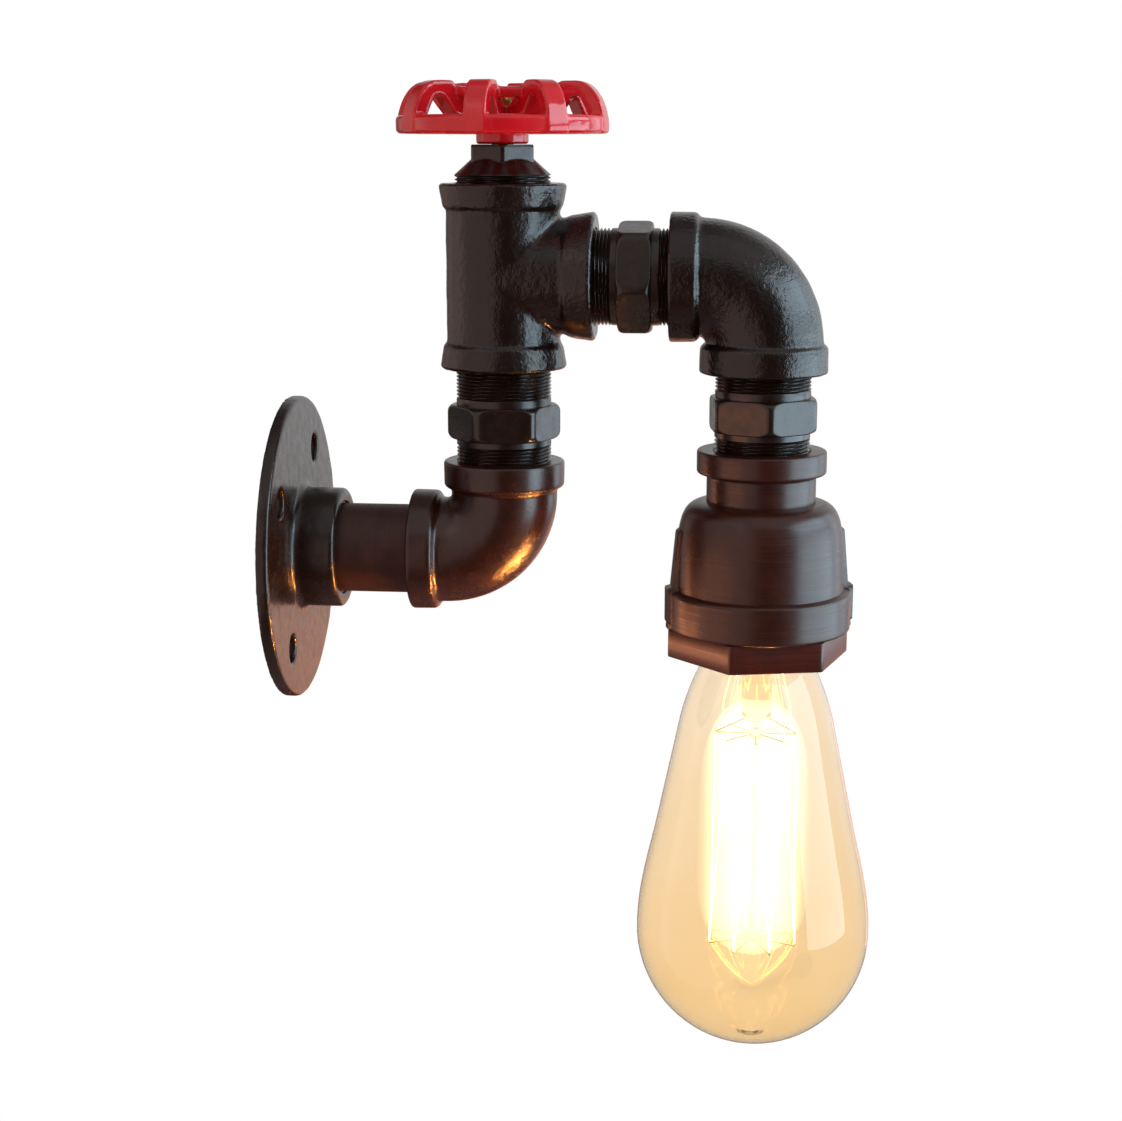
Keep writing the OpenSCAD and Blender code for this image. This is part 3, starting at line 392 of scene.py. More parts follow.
def object_grain(mat, size, stretch=(1, 1, 1), detail=3.0):
    """A texture fixed to the object, in patches about size across, longer where stretch is above 1."""
    coords = add_node(mat, "ShaderNodeTexCoord")
    place = add_node(mat, "ShaderNodeMapping")
    place.inputs["Scale"].default_value = [1 / (size * s) for s in stretch]
    tex = add_node(mat, "ShaderNodeTexNoise")
    tex.inputs["Scale"].default_value = 1.0
    tex.inputs["Detail"].default_value = detail
    links = mat.node_tree.links
    links.new(coords.outputs["Object"], place.inputs["Vector"])
    links.new(place.outputs["Vector"], tex.inputs["Vector"])
    return tex.outputs["Fac"]


def colour_from(mat, grain, dark, light, low=0.35, high=0.65):
    """Base colour that runs from dark to light with a texture."""
    ramp = add_node(mat, "ShaderNodeValToRGB")
    ramp.color_ramp.elements[0].position = low
    ramp.color_ramp.elements[0].color = dark
    ramp.color_ramp.elements[1].position = high
    ramp.color_ramp.elements[1].color = light
    mat.node_tree.links.new(grain, ramp.inputs["Fac"])
    mat.node_tree.links.new(ramp.outputs["Color"], shader_of(mat).inputs["Base Color"])


def rough_from(mat, grain, least, most):
    """Roughness that runs from least to most with a texture."""
    spread = add_node(mat, "ShaderNodeMapRange")
    spread.inputs["From Min"].default_value = 0.3
    spread.inputs["From Max"].default_value = 0.7
    spread.inputs["To Min"].default_value = least
    spread.inputs["To Max"].default_value = most
    mat.node_tree.links.new(grain, spread.inputs["Value"])
    mat.node_tree.links.new(spread.outputs["Result"], shader_of(mat).inputs["Roughness"])


def bumps_from(mat, *layers):
    """Relief from (texture, height) layers, one over the other."""
    links = mat.node_tree.links
    under = None
    for grain, height in layers:
        bump = add_node(mat, "ShaderNodeBump")
        bump.inputs["Distance"].default_value = height
        links.new(grain, bump.inputs["Height"])
        if under is not None:
            links.new(under, bump.inputs["Normal"])
        under = bump.outputs["Normal"]
    links.new(under, shader_of(mat).inputs["Normal"])


def blend_values(tree, operation, *values):
    """Sockets or numbers put together by one math operation after another."""
    total = values[0]
    for value in values[1:]:
        step = tree.nodes.new("ShaderNodeMath")
        step.operation = operation
        for socket, part in zip(step.inputs, (total, value)):
            if isinstance(part, float):
                socket.default_value = part
            else:
                tree.links.new(part, socket)
        total = step.outputs["Value"]
    return total


def black_paint(name, dark, light, peel, grit, least, most, **plain):
    """Brownish black paint over cast iron, with orange peel and sand grain of the given heights."""
    mat = new_material(name, **plain)
    colour_from(mat, object_grain(mat, 7 * MM), colour(dark), colour(light))
    rough_from(mat, object_grain(mat, 3 * MM), least, most)
    bumps_from(
        mat,
        (object_grain(mat, 1.3 * MM, detail=2.0), peel),
        (object_grain(mat, 0.5 * MM, detail=3.0), grit),
    )
    return mat


def turned_paint(name, dark, light, least, most, rings, **plain):
    """Satin brown-black paint over lathe-turned iron, with fine rings, long across the turning axis."""
    mat = new_material(name, **plain)
    colour_from(mat, object_grain(mat, 5 * MM), colour(dark), colour(light))
    rough_from(mat, object_grain(mat, 0.5 * MM, rings), least, most)
    bumps_from(
        mat,
        (object_grain(mat, 0.35 * MM, rings, detail=2.0), 0.012 * MM),
        (object_grain(mat, 1.8 * MM, detail=2.0), 0.012 * MM),
    )
    return mat


def red_paint():
    """Glossy red enamel with a slight orange peel."""
    mat = new_material("red_enamel", Specular_IOR_Level=0.5, Coat_Weight=0.4, Coat_Roughness=0.03)
    colour_from(mat, object_grain(mat, 6 * MM), colour("#c5111c"), colour("#d41824"))
    rough_from(mat, object_grain(mat, 2.5 * MM), 0.1, 0.18)
    bumps_from(mat, (object_grain(mat, 1.8 * MM, detail=2.0), 0.02 * MM))
    return mat


def bare_metal(name, dark, light, least, most):
    """Turned or rolled metal with fine scratches and stains."""
    mat = new_material(name, Metallic=1.0)
    colour_from(mat, object_grain(mat, 2.5 * MM), colour(dark), colour(light))
    rough_from(mat, object_grain(mat, 0.6 * MM, (6, 6, 1)), least, most)
    bumps_from(mat, (object_grain(mat, 0.3 * MM, (8, 8, 1), detail=2.0), 0.006 * MM))
    return mat


def moulded(name, dark, light, least, most, height, **plain):
    """Moulded or fired surface: plastic, rubber or porcelain."""
    mat = new_material(name, **plain)
    colour_from(mat, object_grain(mat, 4 * MM), colour(dark), colour(light))
    rough_from(mat, object_grain(mat, 2 * MM), least, most)
    bumps_from(mat, (object_grain(mat, 0.5 * MM, detail=2.0), height))
    return mat


def clear_glass(name, foot, top, low_z, high_z):
    """Glass tinted from foot to top between two heights, which lets the filament's light out."""
    mat = new_material(name, Transmission_Weight=1.0, Roughness=0.0, IOR=1.45)
    nodes, links = mat.node_tree.nodes, mat.node_tree.links
    split = add_node(mat, "ShaderNodeSeparateXYZ")
    links.new(add_node(mat, "ShaderNodeTexCoord").outputs["Object"], split.inputs["Vector"])
    height = add_node(mat, "ShaderNodeMapRange")
    height.inputs["From Min"].default_value = low_z
    height.inputs["From Max"].default_value = high_z
    links.new(split.outputs["Z"], height.inputs["Value"])
    drift = blend_values(mat.node_tree, "MULTIPLY", object_grain(mat, 18 * MM, detail=1.0), 0.3)
    grain = blend_values(mat.node_tree, "ADD", height.outputs["Result"], drift)
    colour_from(mat, grain, colour(foot), colour(top), 0.2, 1.1)
    rays = add_node(mat, "ShaderNodeLightPath")
    passing = add_node(mat, "ShaderNodeBsdfTransparent")
    links.new(shader_of(mat).inputs["Base Color"].links[0].from_socket, passing.inputs["Color"])
    choose = add_node(mat, "ShaderNodeMixShader")
    links.new(rays.outputs["Is Shadow Ray"], choose.inputs["Fac"])
    links.new(shader_of(mat).outputs["BSDF"], choose.inputs[1])
    links.new(passing.outputs["BSDF"], choose.inputs[2])
    links.new(choose.outputs["Shader"], nodes["Material Output"].inputs["Surface"])
    return mat


def glowing_wire(name, cool, hot, strength):
    """Carbon wire at white heat, a little brighter in places."""
    mat = new_material(name, Roughness=0.5, Emission_Strength=strength)
    grain = object_grain(mat, 4 * MM)
    colour_from(mat, grain, colour(cool), colour(hot))
    feed = shader_of(mat).inputs["Base Color"].links[0].from_socket
    mat.node_tree.links.new(feed, shader_of(mat).inputs["Emission Color"])
    return mat


def glare(name, tint, strength):
    """Clear body that only shines, most at the bulb's axis and fading outwards."""
    mat = bpy.data.materials.new(name)
    mat.use_nodes = True
    nodes, links = mat.node_tree.nodes, mat.node_tree.links
    nodes.remove(nodes["Principled BSDF"])
    shine = nodes.new("ShaderNodeEmission")
    shine.inputs["Color"].default_value = colour(tint)
    place = add_node(mat, "ShaderNodeMapping")
    place.inputs["Location"].default_value = (-HEAD_X, 0, 0)
    place.inputs["Scale"].default_value = (1, 1, 0)
    links.new(add_node(mat, "ShaderNodeTexCoord").outputs["Object"], place.inputs["Vector"])
    away = add_node(mat, "ShaderNodeVectorMath", operation="LENGTH")
    links.new(place.outputs["Vector"], away.inputs[0])
    fade = add_node(mat, "ShaderNodeMapRange", interpolation_type="SMOOTHSTEP")
    fade.inputs["From Min"].default_value = 0.9 * CAGE_TOP_R
    fade.inputs["From Max"].default_value = CAGE_END_R + GLARE_REACH
    fade.inputs["To Min"].default_value = strength
    fade.inputs["To Max"].default_value = 0.0
    links.new(away.outputs["Value"], fade.inputs["Value"])
    links.new(fade.outputs["Result"], shine.inputs["Strength"])
    links.new(shine.outputs["Emission"], nodes["Material Output"].inputs["Volume"])
    return mat


PAINT_CAST = black_paint(
    "cast_paint", "#120907", "#190d09", peel=0.17 * MM, grit=0.08 * MM, least=0.12, most=0.22,
    Specular_IOR_Level=0.6,
)
PAINT_FLANGE = black_paint(
    "flange_paint", "#170b07", "#1f110b", peel=0.03 * MM, grit=0.02 * MM, least=0.2, most=0.3,
    Specular_IOR_Level=0.6,
)
PAINT_SMOOTH = black_paint(
    "elbow_paint", "#260d05", "#301207", peel=0.012 * MM, grit=0.006 * MM, least=0.22, most=0.3,
    Specular_IOR_Level=0.7,
)
PAINT_THREAD = black_paint(
    "thread_paint", "#160a06", "#1e0e09", peel=0.012 * MM, grit=0.006 * MM, least=0.2, most=0.32,
    Specular_IOR_Level=0.7,
)
PAINT_PIPE = turned_paint(
    "pipe_paint", "#2d130a", "#391a0f", least=0.42, most=0.55, rings=(1, 40, 40),
    Specular_IOR_Level=0.5,
)
PAINT_BELL = turned_paint(
    "bell_paint", "#2c0d05", "#371407", least=0.26, most=0.36, rings=(60, 60, 1),
    Specular_IOR_Level=0.6,
)
# The bush wears the bell's paint; this copy is redder than the bell's, a painted glow of the bulb's glare
# on the bush
PAINT_BUSH_GLARE = turned_paint(
    "bush_paint_glare_tint", "#3c0d04", "#4a1406", least=0.26, most=0.36, rings=(60, 60, 1),
    Specular_IOR_Level=0.7,
)
RED = red_paint()
BRASS = bare_metal("brass", "#a9803a", "#c79b4c", 0.2, 0.36)
PLATED = bare_metal("plated_steel", "#9d9c96", "#bdbcb6", 0.25, 0.4)
SOCKET_BRASS = bare_metal("socket_brass", "#b58c40", "#cfa659", 0.22, 0.38)
CAP_METAL = bare_metal("cap_metal", "#9c968c", "#b7b1a6", 0.25, 0.4)
WIRE = bare_metal("hook_wire", "#7c7c80", "#98989c", 0.3, 0.45)
PORCELAIN = moulded("porcelain", "#e6e0d4", "#f2eee6", 0.12, 0.22, 0.01 * MM, Coat_Weight=0.4)
NYLON = moulded("nylon", "#e0dccf", "#ece8dc", 0.35, 0.5, 0.01 * MM)
BAKELITE = moulded("dimmer_black", "#17171a", "#222226", 0.3, 0.45, 0.012 * MM)
RUBBER = moulded("cable_black", "#1b1b1b", "#282828", 0.45, 0.6, 0.02 * MM)
RED_PVC = moulded("lead_red", "#6f1a1a", "#842222", 0.35, 0.5, 0.01 * MM)
CAP_BLACK = moulded("cap_black", "#15151c", "#22222c", 0.08, 0.16, 0.01 * MM)
AMBER = clear_glass("amber_glass", "#fbe4bd", "#fdf1de", GLASS_END, GLASS_TOP)
STEM_GLASS = clear_glass("stem_glass", "#fdf6e6", "#f8ecd4", CAGE_END, CAGE_TOP)
GLOW_WIRE = glowing_wire("filament", "#ffb04a", "#ffc873", strength=30.0)
GLARE = glare("filament_glare", "#fff0d0", strength=60.0)


# Pieces
def hex_nipple(name, node, turn, along_x=False):
    """Threaded nipple with a spanner hexagon in its middle, eased by paint."""
    low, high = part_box(node)
    at = (low + high) / 2
    half = (high.x - low.x) / 2 if along_x else (high.z - low.z) / 2
    hex_half = NIPPLE_HEX_H / 2
    angles = hex_angles(turn, 28)
    flats = hex_radius(angles, turn, NIPPLE_AF)
    corner = hex_corner(NIPPLE_AF)

    def thread_row(z):
        return z, thread_radius(angles, z, THREAD_R, THREAD_PITCH, THREAD_DEPTH)

    def rounding(depth, reach):
        """Share by which a round edge has fallen away at a depth below its end."""
        return 1 - math.sqrt(1 - max(0.0, 1 - depth / reach) ** 2)

    def hex_row(depth, side):
        """One row of the hexagon at a depth below one of its ends, with its corners turned round."""
        turned = corner - HEX_CUT - HEX_DROP * rounding(depth, HEX_EASE)
        sides = flats - HEX_EDGE * rounding(depth, HEX_EDGE)
        blend = np.clip(0.5 + (turned - sides) / (2 * HEX_BLEND), 0, 1)
        eased = turned * (1 - blend) + sides * blend - HEX_BLEND * blend * (1 - blend)
        return side * (hex_half - depth), eased

    steps = round((half - hex_half - NIPPLE_NECK) / (THREAD_PITCH / THREAD_ROWS))
    lower = np.linspace(-half, -hex_half - NIPPLE_NECK, steps)
    depths = [share * HEX_EASE for share in HEX_STEPS]
    rows = [(-half, NIPPLE_BORE_R)] + [thread_row(z) for z in lower]
    rows += [(-hex_half - 0.8 * NIPPLE_NECK, THREAD_R), (-hex_half, THREAD_R)]
    rows += [hex_row(d, -1) for d in depths] + [hex_row(d, 1) for d in depths[::-1]]
    rows += [(hex_half, THREAD_R), (hex_half + 0.8 * NIPPLE_NECK, THREAD_R)]
    rows += [thread_row(-z) for z in lower[::-1]] + [(half, NIPPLE_BORE_R)]
    obj = lathe(name, rows, angles, at, along_x)
    dress(obj, PAINT_THREAD, node, crease=45)


def elbow(name, node, up, bend_r, body_r, bead_r, bead_h, material, skin):
    """Cast elbow from a face towards -X to a face above (up 1) or below (-1), with beads at both ends."""
    low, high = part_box(node)
    corner = np.array([low.x + ELBOW_LEG, 0, low.z + bead_r if up > 0 else high.z - bead_r])
    straight = ELBOW_LEG - bend_r
    total = 2 * straight + bend_r * math.pi / 2

    def station(s):
        """Centre and in-plane normal of the bend at distance s from the first face."""
        if s < straight:
            return np.array([s - ELBOW_LEG, 0, 0]), np.array([0, 0, 1.0])
        if s < total - straight:
            a = (s - straight) / bend_r
            centre = np.array([-bend_r + bend_r * math.sin(a), 0, bend_r - bend_r * math.cos(a)])
            return centre, np.array([-math.sin(a), 0, math.cos(a)])
        return np.array([0, 0, ELBOW_LEG - (total - s)]), np.array([-1.0, 0, 0])

    half = [(0, SOCKET_R + MOUTH_EASE), (0, bead_r)]
    half += [(bead_h, bead_r - BEAD_DRAFT), (bead_h + BEAD_FOOT, body_r)]
    outside = half + [(total - s, r) for s, r in half[::-1]]
    inside = [(0, SOCKET_R), (SOCKET_DEPTH, SOCKET_R), (SOCKET_DEPTH + 0.5 * MM, ELBOW_BORE_R)]
    inside += [(total - s, r) for s, r in inside[::-1]]
    line = refine(soften(outside, BEAD_EASE), 0.6 * MM) + refine(inside[::-1], 1.2 * MM)
    angles = even_angles(120)
    rings = []
    for s, r in line:
        centre, normal = station(min(max(s, 0), total))
        side = np.array([0, 1.0, 0])
        ring = centre + r * (np.outer(np.cos(angles), normal) + np.outer(np.sin(angles), side))
        rings.append(ring * np.array([1, 1, up]) + corner)
    obj = ring_mesh(name, rings)
    cast_skin(obj, skin)
    dress(obj, material, node, crease=50)


def branch_corner(point):
    """1 near the hollow corner where the tee's branch leaves its run, falling to 0 away from it."""
    run = math.hypot(point.x - RUN_X, point.y) - TEE_R
    branch = math.hypot(point.y, point.z - ARM_Z) - TEE_R
    if point.x < RUN_X or min(run, branch) < -1 * MM:
        return 0.0
    return min(1.0, max(0.0, 2 - max(run, branch) / (2.5 * MM)))


def filleted(obj, weight, rounds):
    """The object with so many more rounds of smoothing where weight gives more than 0 for a point."""
    group = obj.vertex_groups.new(name="hollow")
    for vertex in obj.data.vertices:
        share = weight(vertex.co)
        if share > 0:
            group.add([vertex.index], share, "REPLACE")
    add_smoothing(obj, rounds).vertex_group = group.name
    applied(obj)
    obj.vertex_groups.clear()


def above_hub(point):
    """1 over the handwheel's rim and ribs, 0 at the end of the hub that sits on the bonnet."""
    return min(1.0, max(0.0, (point.z - HUB_END) / (2 * MM) - 0.5))


def casting(name, node, voxel, rounds, skin, material, eased=None, more=0):
    """Fine even mesh over a node's shape, its edges rounded as castings are, and more where eased."""
    obj = remeshed(node, name, voxel, rounds)
    if eased:
        filleted(obj, eased, more)
    cast_skin(obj, skin)
    dress(obj, material, node, crease=60)


hex_nipple("lower_nipple", "lower_hex_nipple", turn=7.4)
hex_nipple("arm_nipple", "arm_hex_nipple", turn=41.3, along_x=True)
hex_nipple("drop_nipple", "drop_hex_nipple", turn=38.3)
elbow(
    "lower_elbow_casting", "lower_elbow", up=1, bend_r=16.5 * MM, body_r=14.9 * MM,
    bead_r=17 * MM, bead_h=7 * MM, material=PAINT_SMOOTH, skin=0.02 * MM,
)
elbow(
    "upper_elbow_casting", "upper_elbow", up=-1, bend_r=17.8 * MM, body_r=16.2 * MM,
    bead_r=17.7 * MM, bead_h=7.2 * MM, material=PAINT_CAST, skin=0.1 * MM,
)
casting(
    "tee_casting", "tee", voxel=0.4 * MM, rounds=6, skin=0.1 * MM,
    material=PAINT_CAST, eased=branch_corner, more=60,
)
casting(
    "flange_casting", "wall_flange", voxel=0.45 * MM, rounds=4, skin=0.06 * MM,
    material=PAINT_FLANGE,
)
casting(
    "handwheel_casting", "handwheel", voxel=0.35 * MM, rounds=2, skin=0.04 * MM,
    material=RED, eased=above_hub, more=12,
)


def smooth_step(x, low, high):
    """Rises from 0 at low to 1 at high without corners."""
    t = np.clip((x - low) / (high - low), 0, 1)
    return t * t * (3 - 2 * t)


def side_distance(angles, turn, r):
    """Distance along the rim from each angle to the nearer of two places half a turn apart."""
    off = (angles - turn + math.pi / 2) % math.pi - math.pi / 2
    return np.abs(off) * r


def bell_socket():
    """Turned reducing socket with a lifting rib and a lug on each side."""
    top, end = BELL_TOP, BELL_END
    band_z, neck_z, collar_z = end + BAND_H, top - BELL_NECK_H, top - BELL_COLLAR_H
    shoulder = cubic(
        (neck_z, BELL_NECK_R), (neck_z, BELL_R - 0.7 * MM),
        (neck_z - 6 * MM, BELL_R - 0.5 * MM), (band_z + 0.6 * MM, BELL_R), 24,
    )
    upper = [(top, SOCKET_R + 0.5 * MM), (top, BELL_COLLAR_R), (collar_z, BELL_COLLAR_R)]
    upper += [(collar_z - 0.4 * MM, BELL_NECK_R)]
    lower = [(band_z, BAND_R), (end, BAND_R), (end, BUSH_THREAD_R + 0.6 * MM)]
    outside = refine(soften(upper + [tuple(shoulder[0])], BELL_EASE), BELL_STEP)[:-1]
    outside += refine(shoulder, BELL_STEP)[:-1]
    outside += refine(soften([tuple(shoulder[-1])] + lower, BELL_EASE), BELL_STEP)
    ledge_top = top - LEDGE_DEPTH
    ledge_end = ledge_top - LEDGE_T
    thread_r = BUSH_THREAD_R + THREAD_GAP
    inside = [
        (end + 0.6 * MM, thread_r), (end + BELL_GRIP, thread_r), (end + 14.4 * MM, CHAMBER_R),
        (ledge_end - 7.2 * MM, CHAMBER_R), (ledge_end - 2.4 * MM, THROAT_R), (ledge_end, THROAT_R),
        (ledge_end, LEDGE_HOLE_R), (ledge_top, LEDGE_HOLE_R), (ledge_top, SOCKET_R),
        (top - 0.5 * MM, SOCKET_R),
    ]
    angles = even_angles(360)
    rib = smooth_step(-side_distance(angles, RIB_TURN, BELL_R), -RIB_HALF - 0.5 * MM, 0.5 * MM - RIB_HALF)
    lug = smooth_step(-side_distance(angles, RIB_TURN, BAND_R), -LUG_HALF - 0.4 * MM, 0.4 * MM - LUG_HALF)
    rib_top, lug_low, lug_high = band_z + RIB_H, end + LUG_LOW, end + LUG_HIGH

    def relief(z, r):
        """Outside radius at height z with the ribs and lugs raised over the turned line."""
        line = BELL_R + RIB_PROUD * (1 - (z - band_z) / RIB_H)
        rib_lift = max(0.0, line - r) * smooth_step(-z, -rib_top - 0.6 * MM, -rib_top + 0.6 * MM)
        lug_lift = max(0.0, BAND_R + LUG_PROUD - r)
        lug_lift *= smooth_step(z, lug_low - 0.5 * MM, lug_low + 0.4 * MM)
        lug_lift *= smooth_step(-z, -lug_high - 0.4 * MM, -lug_high + 0.5 * MM)
        if r < BELL_NECK_R + 2 * MM or z <= end + 0.1 * MM:
            return r
        return r + np.maximum(rib_lift * rib, lug_lift * lug)

    rows = [(z, relief(z, r)) for z, r in outside] + inside
    obj = lathe("bell_casting", rows, angles, (HEAD_X, 0, 0))
    dress(obj, PAINT_BELL, "bell", crease=48)


def bush():
    """Hexagon bush, its edges just broken by the paint, with the thread that goes up into the bell."""
    angles = hex_angles(BUSH_TURN, 24)
    corner = hex_corner(BUSH_AF) - 0.15 * MM
    low, high = BUSH_END, BELL_END

    def cut_row(z, cut):
        """Row of the hexagon with its sides and its turned corners cut back."""
        return z, np.minimum(hex_radius(angles, BUSH_TURN, BUSH_AF - 2 * cut), corner - cut)

    breaks = ((0, BUSH_EDGE), (0.13 * MM, 0.3 * BUSH_EDGE), (BUSH_EDGE, 0))
    root_r = BUSH_THREAD_R - THREAD_DEPTH
    rows = [(low + 0.8 * MM, BUSH_BORE_R), (low, BUSH_BORE_R + 0.8 * MM)]
    rows += [cut_row(low + inside, cut) for inside, cut in breaks]
    rows += [cut_row(high - inside, cut) for inside, cut in breaks[::-1]]
    rows += [(high, root_r), (high + BUSH_RELIEF, root_r)]
    for z in np.linspace(high + BUSH_RELIEF, high + BUSH_GRIP, 90):
        rows.append((z, thread_radius(angles, z, BUSH_THREAD_R, THREAD_PITCH, THREAD_DEPTH)))
    rows.append((high + BUSH_GRIP, BUSH_BORE_R))
    obj = lathe("bush_hexagon", rows, angles, (HEAD_X, 0, 0))
    # Its redder paint is painted glare from the bulb, not a paint of its own
    dress(obj, PAINT_BUSH_GLARE, "hex_bush", crease=30)


def bonnet_plug():
    """Screwed plug: thread, cone and a spanner hexagon that grows out of the cone in arcs."""
    angles = hex_angles(BONNET_TURN, 30)
    flats = hex_radius(angles, BONNET_TURN, BONNET_AF)
    corner = hex_corner(BONNET_AF) - 0.3 * MM
    start, cone_z = TEE_TOP - BONNET_GRIP, TEE_TOP + BONNET_SHOW
    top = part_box("bonnet")[1].z + BONNET_PROUD
    plate_end, plate_top = TEE_TOP - PLATE_BELOW, TEE_TOP + PLATE_ABOVE
    rows = [(start, BONNET_BORE_R)]
    for z in np.arange(start, cone_z - 0.5 * MM, THREAD_PITCH / THREAD_ROWS):
        rows.append((z, thread_radius(angles, z - cone_z, THREAD_R, THREAD_PITCH, THREAD_DEPTH)))
    rows += [(cone_z - 0.3 * MM, THREAD_R), (cone_z - 0.1 * MM, THREAD_R - 0.1 * MM)]
    for z in np.arange(cone_z + 0.1 * MM, top - 0.7 * MM, 0.2 * MM):
        cone = THREAD_R - 0.2 * MM - CONE_SLOPE * (z - cone_z)
        rows.append((z, np.maximum(cone, np.minimum(flats, corner))))
    # The top edge is broken in steps, each so many mm down and cut back
    for drop, cut in ((0.7, 0.0), (0.5, 0.1), (0.3, 0.25), (0.1, 0.5), (0.0, 0.75)):
        rows.append((top - drop * MM, np.minimum(flats - 0.2 * cut * MM, corner - cut * MM)))
    rows += [(top, BONNET_SEAT_R + 0.5 * MM), (top - 0.5 * MM, BONNET_SEAT_R)]
    rows += [(plate_top, BONNET_SEAT_R), (plate_top, BONNET_HOLE_R)]
    rows += [(plate_end, BONNET_HOLE_R), (plate_end, BONNET_BORE_R)]
    obj = lathe("bonnet_plug", rows, angles, (RUN_X, 0, 0))
    dress(obj, PAINT_THREAD, "bonnet", crease=40)


def glass_line(inset):
    """Side line of the envelope from the neck's top to the axis at the tip, moved in by inset."""
    flare = (FLANK_R - WAIST_R) / (FLANK_DROP - WAIST_DROP)
    rim, ease = CAP_RIM, 10 * MM
    line = [(rim + NECK_TUCK, NECK_R), (rim - 0.3 * MM, NECK_R)]
    line += cubic(
        (rim - 0.6 * MM, NECK_R), (rim - 0.27 * WAIST_DROP, NECK_R + 0.49 * (WAIST_R - NECK_R)),
        (rim - WAIST_DROP + 0.6 * ease, WAIST_R - 0.6 * flare * ease), (rim - WAIST_DROP, WAIST_R), 22,
    )
    line += cubic(
        (rim - FLANK_DROP, FLANK_R), (rim - FLANK_DROP - ease, FLANK_R + flare * ease),
        (GLOBE_Z + 1.15 * ease, GLASS_R), (GLOBE_Z, GLASS_R), 30,
    )
    line = [(z, r - inset) for z, r in line]
    for a in np.linspace(0, math.pi / 2, 60)[1:]:
        r = (GLASS_R - inset) * math.cos(a)
        tip = TIP_H * max(0.0, 1 - (r / TIP_R) ** 2) ** 2 if inset == 0 else 0.0
        line.append((GLOBE_Z - (GLASS_R - inset) * math.sin(a) - tip, r if a < 1.57 else 0.0))
    return refine(line, 2.5 * MM)


def envelope():
    """Blown glass envelope, with the small seal at its foot where it was pumped out."""
    rows = glass_line(0) + glass_line(GLASS_T)[::-1]
    obj = lathe("glass_envelope", rows, even_angles(160), (HEAD_X, 0, 0))
    dress(obj, AMBER, "bulb_glass", crease=60)


def screw_cap():
    """Rolled screw cap of the bulb, one thin wall with its helix."""
    rim, shoulder, wall = CAP_RIM, CAP_SHOULDER, CAP_WALL
    angles = even_angles(96)
    heights = np.linspace(rim + CAP_SKIRT, shoulder - 1.2 * MM, 60)

    def wavy(z, inset):
        """Row of the wall where the helix starts softly above the plain skirt."""
        crest = CAP_R - 0.1 * MM
        fade = smooth_step(z, rim + CAP_SKIRT, rim + CAP_FADE)
        return z, crest - inset - fade * (crest - thread_radius(angles, z, crest, CAP_PITCH, CAP_WAVE))

    slope_r = CAP_R - CAP_SLOPE_IN
    low = [(rim, CAP_R), (rim + 3.6 * MM, CAP_R)]
    top = [(shoulder - 0.3 * MM, CAP_R - 1.2 * MM), (shoulder, slope_r), (shoulder, CAP_END_R)]
    rows = low + [wavy(z, 0) for z in heights] + top
    rows += [(shoulder - wall, CAP_END_R), (shoulder - wall, slope_r - wall)]
    rows += [wavy(z, wall) for z in heights[::-1]] + [(z, r - wall) for z, r in low[::-1]]
    obj = lathe("bulb_screw_cap", rows, angles, (HEAD_X, 0, 0))
    dress(obj, CAP_METAL, "bulb_cap", crease=50)


def filament_cage():
    """Squirrel-cage filament: one fine wire up and down between the hooks, with a round bend at each."""
    mid_top, mid_end = CAGE_TOP - 0.3 * MM, CAGE_END + 0.3 * MM
    corners = []
    for k in range(STRANDS + 3):
        a = (k - 1) * TURN / STRANDS
        r, z = (CAGE_TOP_R, mid_top) if k % 2 else (CAGE_END_R, mid_end)
        corners.append(np.array([HEAD_X + r * math.cos(a), r * math.sin(a), z]))
    path = soften(corners, BEND_REACH, BEND_POINTS)[1:-1]
    first = BEND_POINTS // 2
    path = np.array(path[first:first + BEND_POINTS * STRANDS])
    ahead = np.roll(path, -1, 0) - np.roll(path, 1, 0)
    ahead /= np.linalg.norm(ahead, axis=1)[:, None]
    out = path - np.array([HEAD_X, 0, 0])
    out[:, 2] = 0
    side = np.cross(ahead, out)
    side /= np.linalg.norm(side, axis=1)[:, None]
    up = np.cross(side, ahead)
    rings = []
    for p, s, u in zip(path, side, up):
        ring = [p + STRAND_R * (math.cos(a) * s + math.sin(a) * u) for a in even_angles(8)]
        rings.append(np.array(ring))
    obj = ring_mesh("filament_cage", rings)
    dress(obj, GLOW_WIRE, "filament", crease=80)


def filament_glow():
    """Body of glare round the glowing cage, as an eye or a lens sees it."""
    top, end = CAGE_TOP + GLARE_ABOVE, CAGE_END - GLARE_REACH
    rows = [(top, 0.0)]
    for t in np.linspace(0.02, 0.98, 40):
        z = top + t * (end - top)
        down = np.clip((CAGE_TOP - z) / (CAGE_TOP - CAGE_END), 0, 1)
        wide = CAGE_TOP_R + (CAGE_END_R - CAGE_TOP_R) * down + GLARE_REACH
        rows.append((z, wide * (1 - (2 * t - 1) ** 4) ** 0.5))
    rows.append((end, 0.0))
    obj = lathe("filament_glow", rows, even_angles(64), (HEAD_X, 0, 0), closed=False)
    dress(obj, GLARE, "filament", crease=80, replaced=False)


def filament_light(name, height):
    """Lamp inside the cage that carries the filament's light to what is near."""
    data = bpy.data.lights.new(name, "POINT")
    data.shadow_soft_size = FILAMENT_REACH
    data.energy = FILAMENT_RADIANCE * TURN * TURN * FILAMENT_REACH ** 2
    data.color = FILAMENT_TINT
    data.cycles.use_multiple_importance_sampling = False
    lamp = bpy.data.objects.new(name, data)
    lamp.location = (HEAD_X, 0, height)
    lamp.visible_camera = False
    lamp.visible_transmission = False
    bpy.context.scene.collection.objects.link(lamp)
    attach(lamp, "bulb")


bell_socket()
bush()
bonnet_plug()
envelope()
screw_cap()
filament_cage()
filament_glow()
